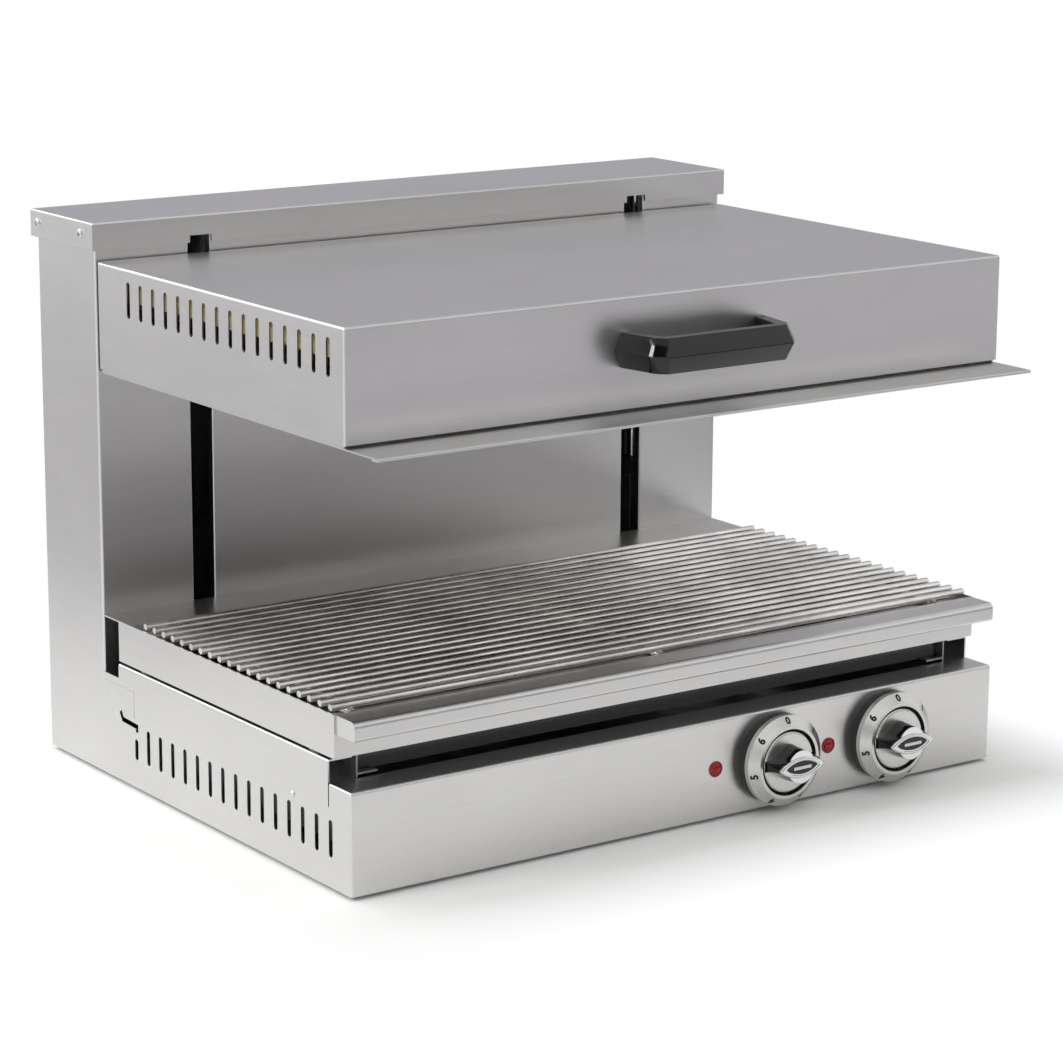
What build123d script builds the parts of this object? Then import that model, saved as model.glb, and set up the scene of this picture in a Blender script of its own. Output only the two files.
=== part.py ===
from build123d import *
import os

# Counter-top cheese melter: a base with a wire grid, a column at the back and an electrically
# heated hood that slides up and down the column, balanced by a weight inside it.
# Millimetres. +X is to the right, +Y to the back and +Z up. The origin is on the counter,
# halfway between the furthest points left and right and the furthest points front and back.

os.makedirs("parts", exist_ok=True)

# ---------------------------------------------------------------- driving sizes
WIDTH = 600.0              # base and column, side to side
BASE_DEPTH = 449.5         # fascia face to the back of the column
BODY_HEIGHT = 432.7        # lower edge of the sheets to the top of the cap
FOOT_HEIGHT = 3.0          # rubber foot below the sheets
SHEET = 1.2                # stainless sheet of the casings
THIN_SHEET = 0.8           # reflector and crumb tray
BEND = 2.0                 # outer radius of a folded edge
SEAT = 0.3                 # gap between bodies that move past each other
RUNNING_FIT = 0.1          # radial clearance of a shaft that turns or slides in its bore

FASCIA_HEIGHT = 76.3
FASCIA_FLANGE = 28.8       # depth of the fascia's folded top
SIDE_HEIGHT = 93.2         # sides of the base
SIDE_FLANGE = 20.0         # width of the sides' folded tops
RELIEF_SLIT = 1.2          # slit between the fascia's fold and the taller side
RELIEF_DEPTH = 17.3
REAR_NOTCH_LENGTH = 23.3   # low part of the sides, next to the column
REAR_NOTCH_DEPTH = 11.3
PAN_FLANGE = 14.0          # upturned edge of the base floor
FLOOR_SLOT_LENGTH = 40.0
FLOOR_SLOT_PITCH = (60.0, 120.0)
FLOOR_SLOT_COUNT = (7, 2)

VENT_COUNT = 16            # rounded slots along each side
VENT_WIDTH = 5.0
VENT_HEIGHT = 27.5
BASE_VENT_START = 26.9     # first slot behind the fascia face
BASE_VENT_END = 50.05      # last slot in front of the column
BASE_VENT_BOTTOM = 22.5
SHORT_VENT_HEIGHT = 16.5   # rearmost slot of the base
HOOK_SLOT_WIDTH = 4.0
HOOK_SLOT_DEPTHS = (25.2, 28.8, 51.0, 51.0)    # its turns in front of the column
HOOK_SLOT_HEIGHTS = (56.0, 50.2, 49.3, 44.8)   # its turns above the sheets' lower edge
PIN_SETBACK = 78.0         # pressed pin behind the fascia face
PIN_HEIGHT = 56.0
PIN_RADIUS = 2.5
PIN_RISE = 1.0
SEAM_GROOVE = 0.5          # width of the outline of the overlapping rear tab
SEAM_DEPTH = 0.4
TAB_LENGTH = 47.4
TAB_TOP = 76.3
TAB_BOTTOM = 55.4

TRAY_GAP = 2.2             # grid tray above the sides of the base
TRAY_HEIGHT = 32.0
TRAY_INSET = 0.9           # grid tray's sides inside the base's sides
LIP_OVERHANG = 2.2         # grid tray's lip in front of the fascia face
LIP_HEIGHT = 14.2
LIP_RADIUS = 4.5
TRAY_FACE = 22.8           # tray's recessed front face behind the fascia face
TRAY_LEDGE = 20.0          # ledges that the wire grid lies on, front and back
SIDE_LEDGE = 8.0           # narrow ledges under the wires' ends
LEDGE_DROP = 5.4           # ledge below the tray's rim
REAR_RIM = 43.2            # tray's flat rim in front of the column
TRAY_BASE_FLANGE = 38.0
TURNED_EDGE = 8.0          # ledge's edge turned down round the well
REAR_SKIRT = 15.0          # tray's rim turned down along the column
SPACER_RADIUS = 6.0
SPACER_INSET = 30.0        # spacers from the ends of the base's side flanges

ROD_DIAMETER = 5.5         # wires of the grid
ROD_COUNT = 20
FIRST_ROD = 32.5           # first wire behind the fascia face
LAST_ROD = 17.45           # last wire in front of the tray's rear rim
ROD_END_GAP = 1.4          # wires' ends to the tray's sides
CROSS_WIRE_LEFT = 16.5     # outer cross wires from the wires' left and right ends
CROSS_WIRE_RIGHT = 31.5
CROSS_WIRE_LEAD = 3.5      # cross wires beyond the first and last wires
WELD_SINK = 0.6

COLUMN_DEPTH = 91.3
GUIDE_SLOT_WIDTH = 19.0
GUIDE_SLOT_X = 209.5       # slots' middles, each side of the centre
GUIDE_SLOT_TOP = 417.0     # above the sheets' lower edge
SLOT_RETURN = 7.0          # depth of the slots' folded edges
COLUMN_FRONT_BOTTOM = 60.0
CASING_FLANGE = 22.0
CAP_OVERHANG = 3.2
CAP_BACK_OVERHANG = 6.3
CAP_SKIRT = 21.2
CAP_BEND = 1.6
CAP_SCREW_DROP = 9.8       # cap's side screws below its top
CAP_SCREW_FRONT = 16.5     # behind the column's front face
CAP_SCREW_BACK = 5.5       # in front of the column's back
SCREW_RADIUS = 2.0
SCREW_HEAD_RADIUS = 3.6
SCREW_HEAD_RISE = 1.6
REAR_SHEET = 1.0
COVER_MARGIN = 2.0         # rear cover inside the column's outline
COVER_SCREW_INSET = 20.0
COVER_SCREW_HEAD = 2.2
COVER_SCREW_REACH = 4.0
COVER_VENT_PITCH = 18.75
COVER_VENT_HEIGHT = 55.0
UPPER_VENTS = 60.0         # rear vents' middle below the cover's top
LOWER_VENTS = 90.0         # and above its bottom

HOOD_HEIGHT = 81.8
HOOD_TOP_GAP = 8.2         # hood below the cap's skirt at the top of its travel
HOOD_SIDE_GAP = 0.6
HOOD_SETBACK = 5.6         # hood's face behind the fascia face
HOOD_BACK_GAP = 3.9
HOOD_LOW_GAP = 49.1        # lowered hood's edge above the tray's rim
HOOD_VENT_START = 20.8     # first slot behind the hood's face
HOOD_VENT_END = 46.65      # last slot in front of the hood's back
HOOD_VENT_BOTTOM = 44.9
LIP_REACH = 39.5           # splash lip in front of the hood's face
FRAME_SETBACK = 8.0        # frame's upstand behind the hood's face, so the gap over the lip is dark
LIP_DROP = 2.1
HEM_DEPTH = 8.0
FRAME_UPSTAND = 12.0       # frame's flanges inside the hood, above its lower edge
HEATER_MARGIN = 36.0       # frame beside the heated opening
HEATER_FRONT = 32.0        # and in front of it and behind it
HEATER_BACK = 28.0
REFLECTOR_OVERLAP = 3.0    # reflector's walls outside the opening
REFLECTOR_BEND = 6.0
REFLECTOR_HEIGHT = 56.0
BLANKET_THICKNESS = 22.0
BLANKET_MARGIN = 9.0
ELEMENT_DIAMETER = 8.0
ELEMENT_DROP = 15.0        # element's middle above the hood's lower edge
ELEMENT_RUNS = 6
ELEMENT_CENTRE_GAP = 26.0  # innermost run from the centre line
ELEMENT_EDGE_GAP = 13.0    # outermost run from the opening's side
ELEMENT_END_GAP = 12.0     # turns from the opening's front and back
ELEMENT_TAIL = 12.0        # heater's ends behind the reflector
TERMINAL_WALL = 2.5
SUPPORT_INSET = 70.0       # support bars from the opening's front and back
SUPPORT_WIDTH = 12.0

HANDLE_LENGTH = 144.0      # across the feet of the legs
HANDLE_FRONT_LENGTH = 126.0
HANDLE_REACH = 45.6
HANDLE_HEIGHT = 26.0
HANDLE_BAR = 20.0          # front to back
HANDLE_LEG = 15.0
HANDLE_BEVEL = 6.0
HANDLE_ABOVE_EDGE = 43.5   # handle's middle above the hood's lower edge
HANDLE_SCREW = 2.5
HANDLE_SCREW_DEPTH = 12.0

GUIDE_ROD_RADIUS = 6.0
GUIDE_ROD_X = 231.0
GUIDE_ROD_DEPTH = 26.0     # rods behind the column's front face
BUSH_WALL = 2.0
LUG_HEIGHT = 16.0
LUG_HALF = 14.0
LUG_LOW = 12.0             # lower lug above the hood's lower edge
LUG_HIGH = 52.0
ARM_PLATE = 4.0
ARM_FLANGE = 24.0          # arm's flange on the hood's back plate
ARM_TAIL = 6.0             # arm behind the cross bar
BUFFER_HEIGHT = 14.0
BUFFER_RADIUS = 11.0
BUFFER_GAP = 2.0           # lowered lugs above the buffers
BRACKET_PLATE = 3.0
BRACKET_FRONT = 13.0       # brackets in front of the guide rods' middles
BRACKET_BACK = 17.0        # lower bracket behind them
BRACKET_HEIGHT = 15.0
BRACKET_DROP = 6.0         # upper bracket below the cap

PULLEY_X = 150.0
PULLEY_RADIUS = 20.0       # to the middle of the cable
PULLEY_FLANGE = 3.0        # rim beyond the cable's middle
PULLEY_WIDTH = 10.0
PULLEY_DROP = 36.0         # axle below the top of the cap
PULLEY_HOLES = 5
PULLEY_HOLE_RADIUS = 3.0
PULLEY_HOLE_CIRCLE = 11.5
GROOVE_FLARE = 1.2         # groove's mouth wider than its floor, each side
AXLE_RADIUS = 4.0
CHEEK_GAP = 1.5            # bracket's cheeks beside the pulley
CHEEK_PLATE = 2.0
CHEEK_HALF = 9.0
CABLE_RADIUS = 1.5
CROSSBAR_DEPTH = 12.0
CROSSBAR_HEIGHT = 20.0
WEIGHT_LENGTH = 400.0
WEIGHT_THICKNESS = 28.0
WEIGHT_HEIGHT = 100.0
WEIGHT_BOTTOM = 70.0
WEIGHT_REAR_GAP = 6.1      # weight in front of the column's rear flanges

KNOB_X = (80.0, 190.0)     # right of the centre line
KNOB_HEIGHT = 38.0
LAMP_OFFSET = 57.0         # lamp to the left of its knob
DIAL_RADIUS = 35.5
DIAL_BASE_DEPTH = 8.0
DIAL_RIM = 4.0
DIAL_RISE = 10.0
DIAL_INNER_RADIUS = 26.0
DIAL_FACE_RADIUS = 28.5
KNOB_RADIUS = 24.0
KNOB_GAP = 2.0
KNOB_FRONT = 17.5
GRIP_LENGTH = 45.0
GRIP_WIDTH = 24.0
GRIP_DEPTH = 14.5
TRIM_DEPTH = 2.0
TRIM_WALL = 4.5
RIDGE_HALF = 1.6
SHAFT_RADIUS = 3.0
COLLAR_WALL = 3.0          # regulator's collar round the shaft
PANEL_HOLE_GAP = 1.0       # panel's hole round the collar
REGULATOR_HALF = (17.0, 16.0)
REGULATOR_DEPTH = 38.0
REGULATOR_SETBACK = 6.0    # regulator's body behind the fascia sheet
BLADE_LENGTH = 9.0
BLADE_SPACING = (10.0, 14.0)
BLADE_SIZE = (6.0, 0.8)
LAMP_RADIUS = 6.25
LAMP_RISE = 3.2
LAMP_STEM = 4.5
LAMP_LENGTH = 30.0
LAMP_NUT = (2.0, 5.0)      # nut's wall and thickness

CRUMB_HEIGHT = 13.7
RUNNER_INSET = 23.4        # runner's web inside the base's side
RUNNER_FLANGE = 18.0
RUNNER_FOOT = 2.0          # runner above the fascia's folded top
BAFFLE_GAP = 20.0          # runner's baffle, behind the vents, above the sheets' lower edge
CRUMB_SETBACK = 36.0       # crumb tray's front behind the fascia face
CRUMB_REAR_GAP = 4.9       # crumb tray's back in front of the grid tray's skirt
CRUMB_CORNER = 4.0

GLAND_REACH = 24.0
GLAND_INSET = 70.0         # gland's middle inside the column's left side
GLAND_HEIGHT = 34.0
GLAND_BORE = 4.5
GLAND_THREAD = 8.0
GLAND_TAIL = 9.0           # thread in front of the column's back
GLAND_HEX = 12.0
GLAND_HEX_DEPTH = 6.0
GLAND_NUT = 3.0
GLAND_DOME = 10.0
BLOCK_OFFSET = (30.0, 46.0)    # terminal block right of the gland, in front of the back
BLOCK_SIZE = (64.0, 24.0, 18.0)
POLE_COUNT = 5
POLE_PITCH = 12.0
POLE_RADIUS = 3.0
POLE_DEPTH = 6.0
POLE_MARGIN = 7.0
FOOT_RADIUS = 10.0
FOOT_INSET = 30.0

# ---------------------------------------------------------------- places
half = WIDTH / 2
fascia_y = -(HOOD_SETBACK - HANDLE_REACH + BASE_DEPTH + GLAND_REACH) / 2
back_y = fascia_y + BASE_DEPTH
column_y = back_y - COLUMN_DEPTH
flange_y = fascia_y + FASCIA_FLANGE
base_z = FOOT_HEIGHT
fascia_top = base_z + FASCIA_HEIGHT
side_top = base_z + SIDE_HEIGHT
tray_bottom = side_top + TRAY_GAP
tray_top = tray_bottom + TRAY_HEIGHT
top_z = base_z + BODY_HEIGHT
skirt_z = top_z - CAP_SKIRT
cap_under = top_z - SHEET
hood_top = skirt_z - HOOD_TOP_GAP
hood_bottom = hood_top - HOOD_HEIGHT
hood_half = half - HOOD_SIDE_GAP
hood_y = fascia_y + HOOD_SETBACK
hood_back = column_y - HOOD_BACK_GAP
hood_travel = hood_bottom - tray_top - HOOD_LOW_GAP
SIDES = (("left", -1), ("right", 1))


# ---------------------------------------------------------------- helpers
def span(a, b):
    """Two values in rising order."""
    return (min(a, b), max(a, b))


def block(x, y, z, mode=Mode.ADD):
    """A square-edged block between two values on each axis."""
    with Locations(((x[0] + x[1]) / 2, (y[0] + y[1]) / 2, (z[0] + z[1]) / 2)):
        Box(x[1] - x[0], y[1] - y[0], z[1] - z[0], mode=mode)


def bar_x(radius, x, y, z, mode=Mode.ADD):
    """A round bar along X between two values."""
    with Locations(Location(((x[0] + x[1]) / 2, y, z), (0, 90, 0))):
        Cylinder(radius, x[1] - x[0], mode=mode)


def bar_y(radius, x, y, z, mode=Mode.ADD):
    """A round bar along Y between two values."""
    with Locations(Location((x, (y[0] + y[1]) / 2, z), (90, 0, 0))):
        Cylinder(radius, y[1] - y[0], mode=mode)


def bar_z(radius, x, y, z, mode=Mode.ADD):
    """A round bar along Z between two values."""
    with Locations((x, y, (z[0] + z[1]) / 2)):
        Cylinder(radius, z[1] - z[0], mode=mode)


def write(piece, label):
    """Label a finished piece and write it to its own file."""
    piece.part.label = label
    export_step(piece.part, f"parts/{label}.step")


# ---------------------------------------------------------------- base
foot_pitch_x = WIDTH - 2 * FOOT_INSET
foot_pitch_y = BASE_DEPTH - 2 * FOOT_INSET
base_mid_y = (fascia_y + back_y) / 2

with BuildPart() as rubber_feet:
    with Locations((0, base_mid_y, FOOT_HEIGHT / 2)):
        with GridLocations(foot_pitch_x, foot_pitch_y, 2, 2):
            Cylinder(FOOT_RADIUS, FOOT_HEIGHT)
    chamfer(rubber_feet.edges().group_by(Axis.Z)[0], 0.6)
write(rubber_feet, "rubber_feet")

pan_half = half - SHEET
pan_y = (fascia_y + SHEET, back_y - SHEET)
pan_z = (base_z, base_z + PAN_FLANGE)

with BuildPart() as base_floor:
    block((-pan_half, pan_half), pan_y, pan_z)
    fillet(base_floor.edges().filter_by(Axis.Z), BEND)
    offset(amount=-SHEET, openings=base_floor.faces().sort_by(Axis.Z)[-1])
    with BuildSketch(Plane.XY.offset(base_z)):
        with Locations((0, base_mid_y)):
            with GridLocations(*FLOOR_SLOT_PITCH, *FLOOR_SLOT_COUNT):
                SlotOverall(FLOOR_SLOT_LENGTH, VENT_WIDTH)
    extrude(amount=2 * SHEET, mode=Mode.SUBTRACT)
write(base_floor, "base_floor")

slit_y = flange_y + RELIEF_SLIT
high_end = column_y - REAR_NOTCH_LENGTH
first_vent = fascia_y + BASE_VENT_START
last_vent = column_y - BASE_VENT_END
vent_pitch = (last_vent - first_vent) / (VENT_COUNT - 1)
tab_y = column_y - TAB_LENGTH
hook_turns = [(column_y - depth, base_z + height)
              for depth, height in zip(HOOK_SLOT_DEPTHS, HOOK_SLOT_HEIGHTS)]
knob_z = base_z + KNOB_HEIGHT
panel_hole = SHAFT_RADIUS + COLLAR_WALL + PANEL_HOLE_GAP
behind_panel = (fascia_y - 1, fascia_y + SHEET + 1)

with BuildPart() as base_shell:
    block((-half, half), (fascia_y, flange_y), (base_z, fascia_top))
    upright = base_shell.edges().filter_by(Axis.Z).group_by(Axis.Y)[0]
    top_edges = base_shell.edges().group_by(Axis.Z)[-1].sort_by(Axis.Y)[:-1]
    fillet(upright + top_edges, BEND)
    underside = base_shell.faces().sort_by(Axis.Z)[0]
    open_back = base_shell.faces().sort_by(Axis.Y)[-1]
    offset(amount=-SHEET, openings=[underside, open_back])
    for name, sign in SIDES:
        block(span(sign * half, sign * (half - SHEET)), (flange_y, column_y), (base_z, side_top))
        block(span(sign * half, sign * (half - SIDE_FLANGE)), (slit_y, high_end),
              (side_top - SHEET, side_top))
    long_tops = base_shell.edges().filter_by(Axis.Y).group_by(Axis.Z)[-1].sort_by(Axis.X)
    fillet([long_tops[0], long_tops[-1]], BEND)
    across = (-half - 1, half + 1)
    block(across, (flange_y, slit_y), (fascia_top - RELIEF_DEPTH, side_top + 1), Mode.SUBTRACT)
    block(across, (high_end, column_y + 1), (side_top - REAR_NOTCH_DEPTH, side_top + 1),
          Mode.SUBTRACT)
    for name, sign in SIDES:
        groove_x = span(sign * (half + 1), sign * (half - SEAM_DEPTH))
        block(groove_x, (tab_y, tab_y + SEAM_GROOVE), (base_z + TAB_BOTTOM, base_z + TAB_TOP),
              Mode.SUBTRACT)
        block(groove_x, (tab_y, column_y),
              (base_z + TAB_TOP, base_z + TAB_TOP + SEAM_GROOVE), Mode.SUBTRACT)
    with BuildSketch(Plane.YZ.offset(-half - 1)):
        for vent in range(VENT_COUNT - 1):
            with Locations((first_vent + vent * vent_pitch,
                            base_z + BASE_VENT_BOTTOM + VENT_HEIGHT / 2)):
                SlotOverall(VENT_HEIGHT, VENT_WIDTH, rotation=90)
        with Locations((last_vent, base_z + BASE_VENT_BOTTOM + SHORT_VENT_HEIGHT / 2)):
            SlotOverall(SHORT_VENT_HEIGHT, VENT_WIDTH, rotation=90)
        with BuildLine():
            Polyline(*hook_turns)
        trace(line_width=HOOK_SLOT_WIDTH)
    extrude(amount=WIDTH + 2, mode=Mode.SUBTRACT)
    for knob_x in KNOB_X:
        bar_y(panel_hole, knob_x, behind_panel, knob_z, Mode.SUBTRACT)
        bar_y(LAMP_STEM, knob_x - LAMP_OFFSET, behind_panel, knob_z, Mode.SUBTRACT)
write(base_shell, "base_shell")

with BuildPart() as panel_pins:
    for name, sign in SIDES:
        pin_x = span(sign * half, sign * (half + PIN_RISE))
        bar_x(PIN_RADIUS, pin_x, fascia_y + PIN_SETBACK, base_z + PIN_HEIGHT)
    chamfer(panel_pins.faces().sort_by(Axis.X)[0].edges(), PIN_RISE / 2)
    chamfer(panel_pins.faces().sort_by(Axis.X)[-1].edges(), PIN_RISE / 2)
write(panel_pins, "panel_pins")

# ---------------------------------------------------------------- grid tray
tray_half = half - TRAY_INSET
lip_half = tray_half - SHEET
lip_y = fascia_y - LIP_OVERHANG
face_y = fascia_y + TRAY_FACE
ledge_z = tray_top - LEDGE_DROP
rim_y = column_y - REAR_RIM
inner_y = (face_y + SHEET + TRAY_LEDGE, rim_y - TRAY_LEDGE)
inner_half = tray_half - SIDE_LEDGE

with BuildPart() as grid_tray:
    block((-lip_half, lip_half), (lip_y, face_y + SHEET), (tray_top - LIP_HEIGHT, tray_top))
    front_edges = grid_tray.edges().filter_by(Axis.X).group_by(Axis.Y)[0].sort_by(Axis.Z)
    fillet(front_edges[-1], LIP_RADIUS)
    front_edges = grid_tray.edges().filter_by(Axis.X).sort_by(Axis.Z)
    fillet(front_edges.group_by(Axis.Z)[0].sort_by(Axis.Y)[0], BEND)
    offset(amount=-SHEET, openings=grid_tray.faces().sort_by(Axis.Y)[-1])
    block((-tray_half, tray_half), (face_y, face_y + SHEET), (tray_bottom, tray_top))
    for name, sign in SIDES:
        block(span(sign * tray_half, sign * lip_half), (face_y, high_end), (tray_bottom, tray_top))
        block(span(sign * tray_half, sign * (tray_half - TRAY_BASE_FLANGE)), (face_y, high_end),
              (tray_bottom, tray_bottom + SHEET))
        block(span(sign * lip_half, sign * inner_half), (face_y, rim_y), (ledge_z - SHEET, ledge_z))
        block(span(sign * inner_half, sign * (inner_half + SHEET)), inner_y,
              (ledge_z - 2 * SHEET - TURNED_EDGE, ledge_z))
    for ledge_y in (span(face_y, inner_y[0]), span(inner_y[1], rim_y + SHEET)):
        block((-lip_half, lip_half), ledge_y, (ledge_z - SHEET, ledge_z))
    for turned_y in (inner_y[0] - SHEET, inner_y[1]):
        block((-inner_half - SHEET, inner_half + SHEET), (turned_y, turned_y + SHEET),
              (ledge_z - 2 * SHEET - TURNED_EDGE, ledge_z))
    block((-tray_half, tray_half), (rim_y, rim_y + SHEET), (ledge_z - SHEET, tray_top))
    block((-tray_half, tray_half), (rim_y, column_y), (tray_top - SHEET, tray_top))
    block((-tray_half, tray_half), (high_end - SHEET, high_end), (tray_bottom, tray_top))
    block((-tray_half, tray_half), (column_y - SHEET, column_y), (tray_top - REAR_SKIRT, tray_top))
    for flange in (span(face_y, face_y + TRAY_LEDGE), span(high_end - TRAY_LEDGE, high_end)):
        block((-tray_half, tray_half), flange, (tray_bottom, tray_bottom + SHEET))
write(grid_tray, "grid_tray")

with BuildPart() as tray_spacers:
    for name, sign in SIDES:
        for spacer_y in (slit_y + SPACER_INSET, high_end - SPACER_INSET):
            bar_z(SPACER_RADIUS, sign * (half - SIDE_FLANGE / 2), spacer_y,
                  (side_top, tray_bottom))
write(tray_spacers, "tray_spacers")

# ---------------------------------------------------------------- crumb tray and its runners
runner_x = half - RUNNER_INSET
runner_z = (fascia_top + RUNNER_FOOT, tray_bottom)
runner_y = (slit_y, high_end - TRAY_LEDGE)
baffle_z = base_z + BAFFLE_GAP

for name, sign in SIDES:
    with BuildPart() as tray_runner:
        block(span(sign * runner_x, sign * (runner_x - SHEET)), runner_y,
              (baffle_z, runner_z[1]))
        for flange_z in (runner_z[0], runner_z[1] - SHEET):
            block(span(sign * runner_x, sign * (runner_x - RUNNER_FLANGE)), runner_y,
                  (flange_z, flange_z + SHEET))
    write(tray_runner, f"{name}_tray_runner")

crumb_half = runner_x - SHEET - SEAT
crumb_y = (fascia_y + CRUMB_SETBACK, high_end - CRUMB_REAR_GAP)
crumb_z = runner_z[0] + SHEET + SEAT

crumb_floor_z = crumb_z + THIN_SHEET
with BuildPart() as crumb_tray:
    block((-crumb_half, crumb_half), crumb_y, (crumb_z, crumb_floor_z))
    fillet(crumb_tray.edges().filter_by(Axis.Z), CRUMB_CORNER)
write(crumb_tray, "crumb_tray")

with BuildPart() as crumb_tray_wall:
    block((-crumb_half, crumb_half), crumb_y, (crumb_floor_z, crumb_z + CRUMB_HEIGHT))
    fillet(crumb_tray_wall.edges().filter_by(Axis.Z), CRUMB_CORNER)
    ends = crumb_tray_wall.faces().filter_by(Axis.Z)
    offset(amount=-THIN_SHEET, openings=[ends[0], ends[1]])
write(crumb_tray_wall, "crumb_tray_wall")

# ---------------------------------------------------------------- wire grid
cross_z = ledge_z + SEAT + ROD_DIAMETER / 2
rod_z = cross_z + ROD_DIAMETER - WELD_SINK
rod_y = fascia_y + FIRST_ROD
last_rod_y = rim_y - LAST_ROD
rod_pitch = (last_rod_y - rod_y) / (ROD_COUNT - 1)
rod_half = lip_half - ROD_END_GAP
left_wire = CROSS_WIRE_LEFT - rod_half
right_wire = rod_half - CROSS_WIRE_RIGHT

with BuildPart() as wire_grid:
    for wire_x in (left_wire, (left_wire + right_wire) / 2, right_wire):
        bar_y(ROD_DIAMETER / 2, wire_x, (rod_y - CROSS_WIRE_LEAD, last_rod_y + CROSS_WIRE_LEAD),
              cross_z)
    for count in range(ROD_COUNT):
        bar_x(ROD_DIAMETER / 2, (-rod_half, rod_half), rod_y + count * rod_pitch, rod_z)
write(wire_grid, "wire_grid")

# ---------------------------------------------------------------- column
cover_z = (base_z + COVER_MARGIN, skirt_z - COVER_MARGIN)
rear_screw_x = half - CASING_FLANGE / 2
rear_screw_heights = (cover_z[0] + COVER_SCREW_INSET, (cover_z[0] + cover_z[1]) / 2,
                      cover_z[1] - COVER_SCREW_INSET)
slot_top = base_z + GUIDE_SLOT_TOP
slot_half = GUIDE_SLOT_WIDTH / 2
cap_half = half + CAP_OVERHANG
cap_screw_z = top_z - CAP_SCREW_DROP
cap_screw_ys = (column_y + CAP_SCREW_FRONT, back_y - CAP_SCREW_BACK)

with BuildPart() as column_shell:
    block((-half, half), (column_y, back_y), (base_z, cap_under))
    fillet(column_shell.edges().filter_by(Axis.Z).group_by(Axis.Y)[0], BEND)
    ends = column_shell.faces().filter_by(Axis.Z)
    open_back = column_shell.faces().sort_by(Axis.Y)[-1]
    offset(amount=-SHEET, openings=[ends[0], ends[1], open_back])
    for name, sign in SIDES:
        block(span(sign * half, sign * (half - CASING_FLANGE)), (back_y - SHEET, back_y),
              (base_z, cap_under))
        block(span(sign * (GUIDE_SLOT_X - slot_half - SHEET),
                   sign * (GUIDE_SLOT_X + slot_half + SHEET)),
              (column_y, column_y + SLOT_RETURN), (tray_top, slot_top))
        block(span(sign * (GUIDE_SLOT_X - slot_half), sign * (GUIDE_SLOT_X + slot_half)),
              (column_y - 1, column_y + SLOT_RETURN + 1), (tray_top, slot_top), Mode.SUBTRACT)
    slot_reach = GUIDE_SLOT_X + GUIDE_SLOT_WIDTH
    slot_edges = column_shell.edges().filter_by(Axis.Z).group_by(Axis.Y)[0]
    fillet(slot_edges.filter_by_position(Axis.X, -slot_reach, slot_reach), 1.1)
    block((-pan_half, pan_half), (column_y - 1, column_y + 4),
          (base_z - 1, base_z + COLUMN_FRONT_BOTTOM), Mode.SUBTRACT)
    for screw_y in cap_screw_ys:
        bar_x(SCREW_RADIUS, (-cap_half, cap_half), screw_y, cap_screw_z, Mode.SUBTRACT)
    for name, sign in SIDES:
        for height in rear_screw_heights:
            bar_y(SCREW_RADIUS, sign * rear_screw_x, (back_y - SHEET - 1, back_y + 1), height,
                  Mode.SUBTRACT)
write(column_shell, "column_shell")

cap_y = (column_y - CAP_OVERHANG, back_y + CAP_BACK_OVERHANG)

with BuildPart() as column_cap:
    block((-cap_half, cap_half), cap_y, (skirt_z, top_z))
    fillet(column_cap.edges().group_by(Axis.Z)[-1], CAP_BEND)
    offset(amount=-SHEET, openings=column_cap.faces().sort_by(Axis.Z)[0])
    for name, sign in SIDES:
        block(span(sign * (GUIDE_SLOT_X - slot_half), sign * (GUIDE_SLOT_X + slot_half)),
              (cap_y[0] - 1, column_y), (skirt_z - 1, slot_top), Mode.SUBTRACT)
    for screw_y in cap_screw_ys:
        bar_x(SCREW_RADIUS, (-cap_half - 1, cap_half + 1), screw_y, cap_screw_z, Mode.SUBTRACT)
write(column_cap, "column_cap")

with BuildPart() as cap_screws:
    for name, sign in SIDES:
        for screw_y in cap_screw_ys:
            bar_x(SCREW_HEAD_RADIUS, span(sign * cap_half, sign * (cap_half + SCREW_HEAD_RISE)),
                  screw_y, cap_screw_z)
            bar_x(SCREW_RADIUS, span(sign * (half - SHEET), sign * cap_half), screw_y,
                  cap_screw_z)
    fillet(cap_screws.faces().sort_by(Axis.X)[0:2].edges(), 0.75 * SCREW_HEAD_RISE)
    fillet(cap_screws.faces().sort_by(Axis.X)[-2:].edges(), 0.75 * SCREW_HEAD_RISE)
write(cap_screws, "cap_screws")

# ---------------------------------------------------------------- rear cover and cable gland
cover_half = half - COVER_MARGIN
cover_y = (back_y, back_y + REAR_SHEET)
gland_x = GLAND_INSET - half
gland_z = base_z + GLAND_HEIGHT

with BuildPart() as rear_cover:
    block((-cover_half, cover_half), cover_y, cover_z)
    with BuildSketch(Plane.XZ.offset(-cover_y[1] - 1)):
        with Locations((0, cover_z[1] - UPPER_VENTS), (0, cover_z[0] + LOWER_VENTS)):
            with GridLocations(COVER_VENT_PITCH, 1, VENT_COUNT, 1):
                SlotOverall(COVER_VENT_HEIGHT, VENT_WIDTH, rotation=90)
    extrude(amount=REAR_SHEET + 2, mode=Mode.SUBTRACT)
    bar_y(GLAND_THREAD, gland_x, (back_y - 1, cover_y[1] + 1), gland_z, Mode.SUBTRACT)
    for name, sign in SIDES:
        for height in rear_screw_heights:
            bar_y(SCREW_RADIUS, sign * rear_screw_x, (back_y - 1, cover_y[1] + 1), height,
                  Mode.SUBTRACT)
write(rear_cover, "rear_cover")

with BuildPart() as rear_cover_screws:
    for name, sign in SIDES:
        for height in rear_screw_heights:
            bar_y(SCREW_HEAD_RADIUS, sign * rear_screw_x,
                  (cover_y[1], cover_y[1] + COVER_SCREW_HEAD), height)
            bar_y(SCREW_RADIUS, sign * rear_screw_x,
                  (back_y - SHEET - COVER_SCREW_REACH, cover_y[1]), height)
    fillet(rear_cover_screws.edges().group_by(Axis.Y)[-1], 0.6 * COVER_SCREW_HEAD)
write(rear_cover_screws, "rear_cover_screws")

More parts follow.
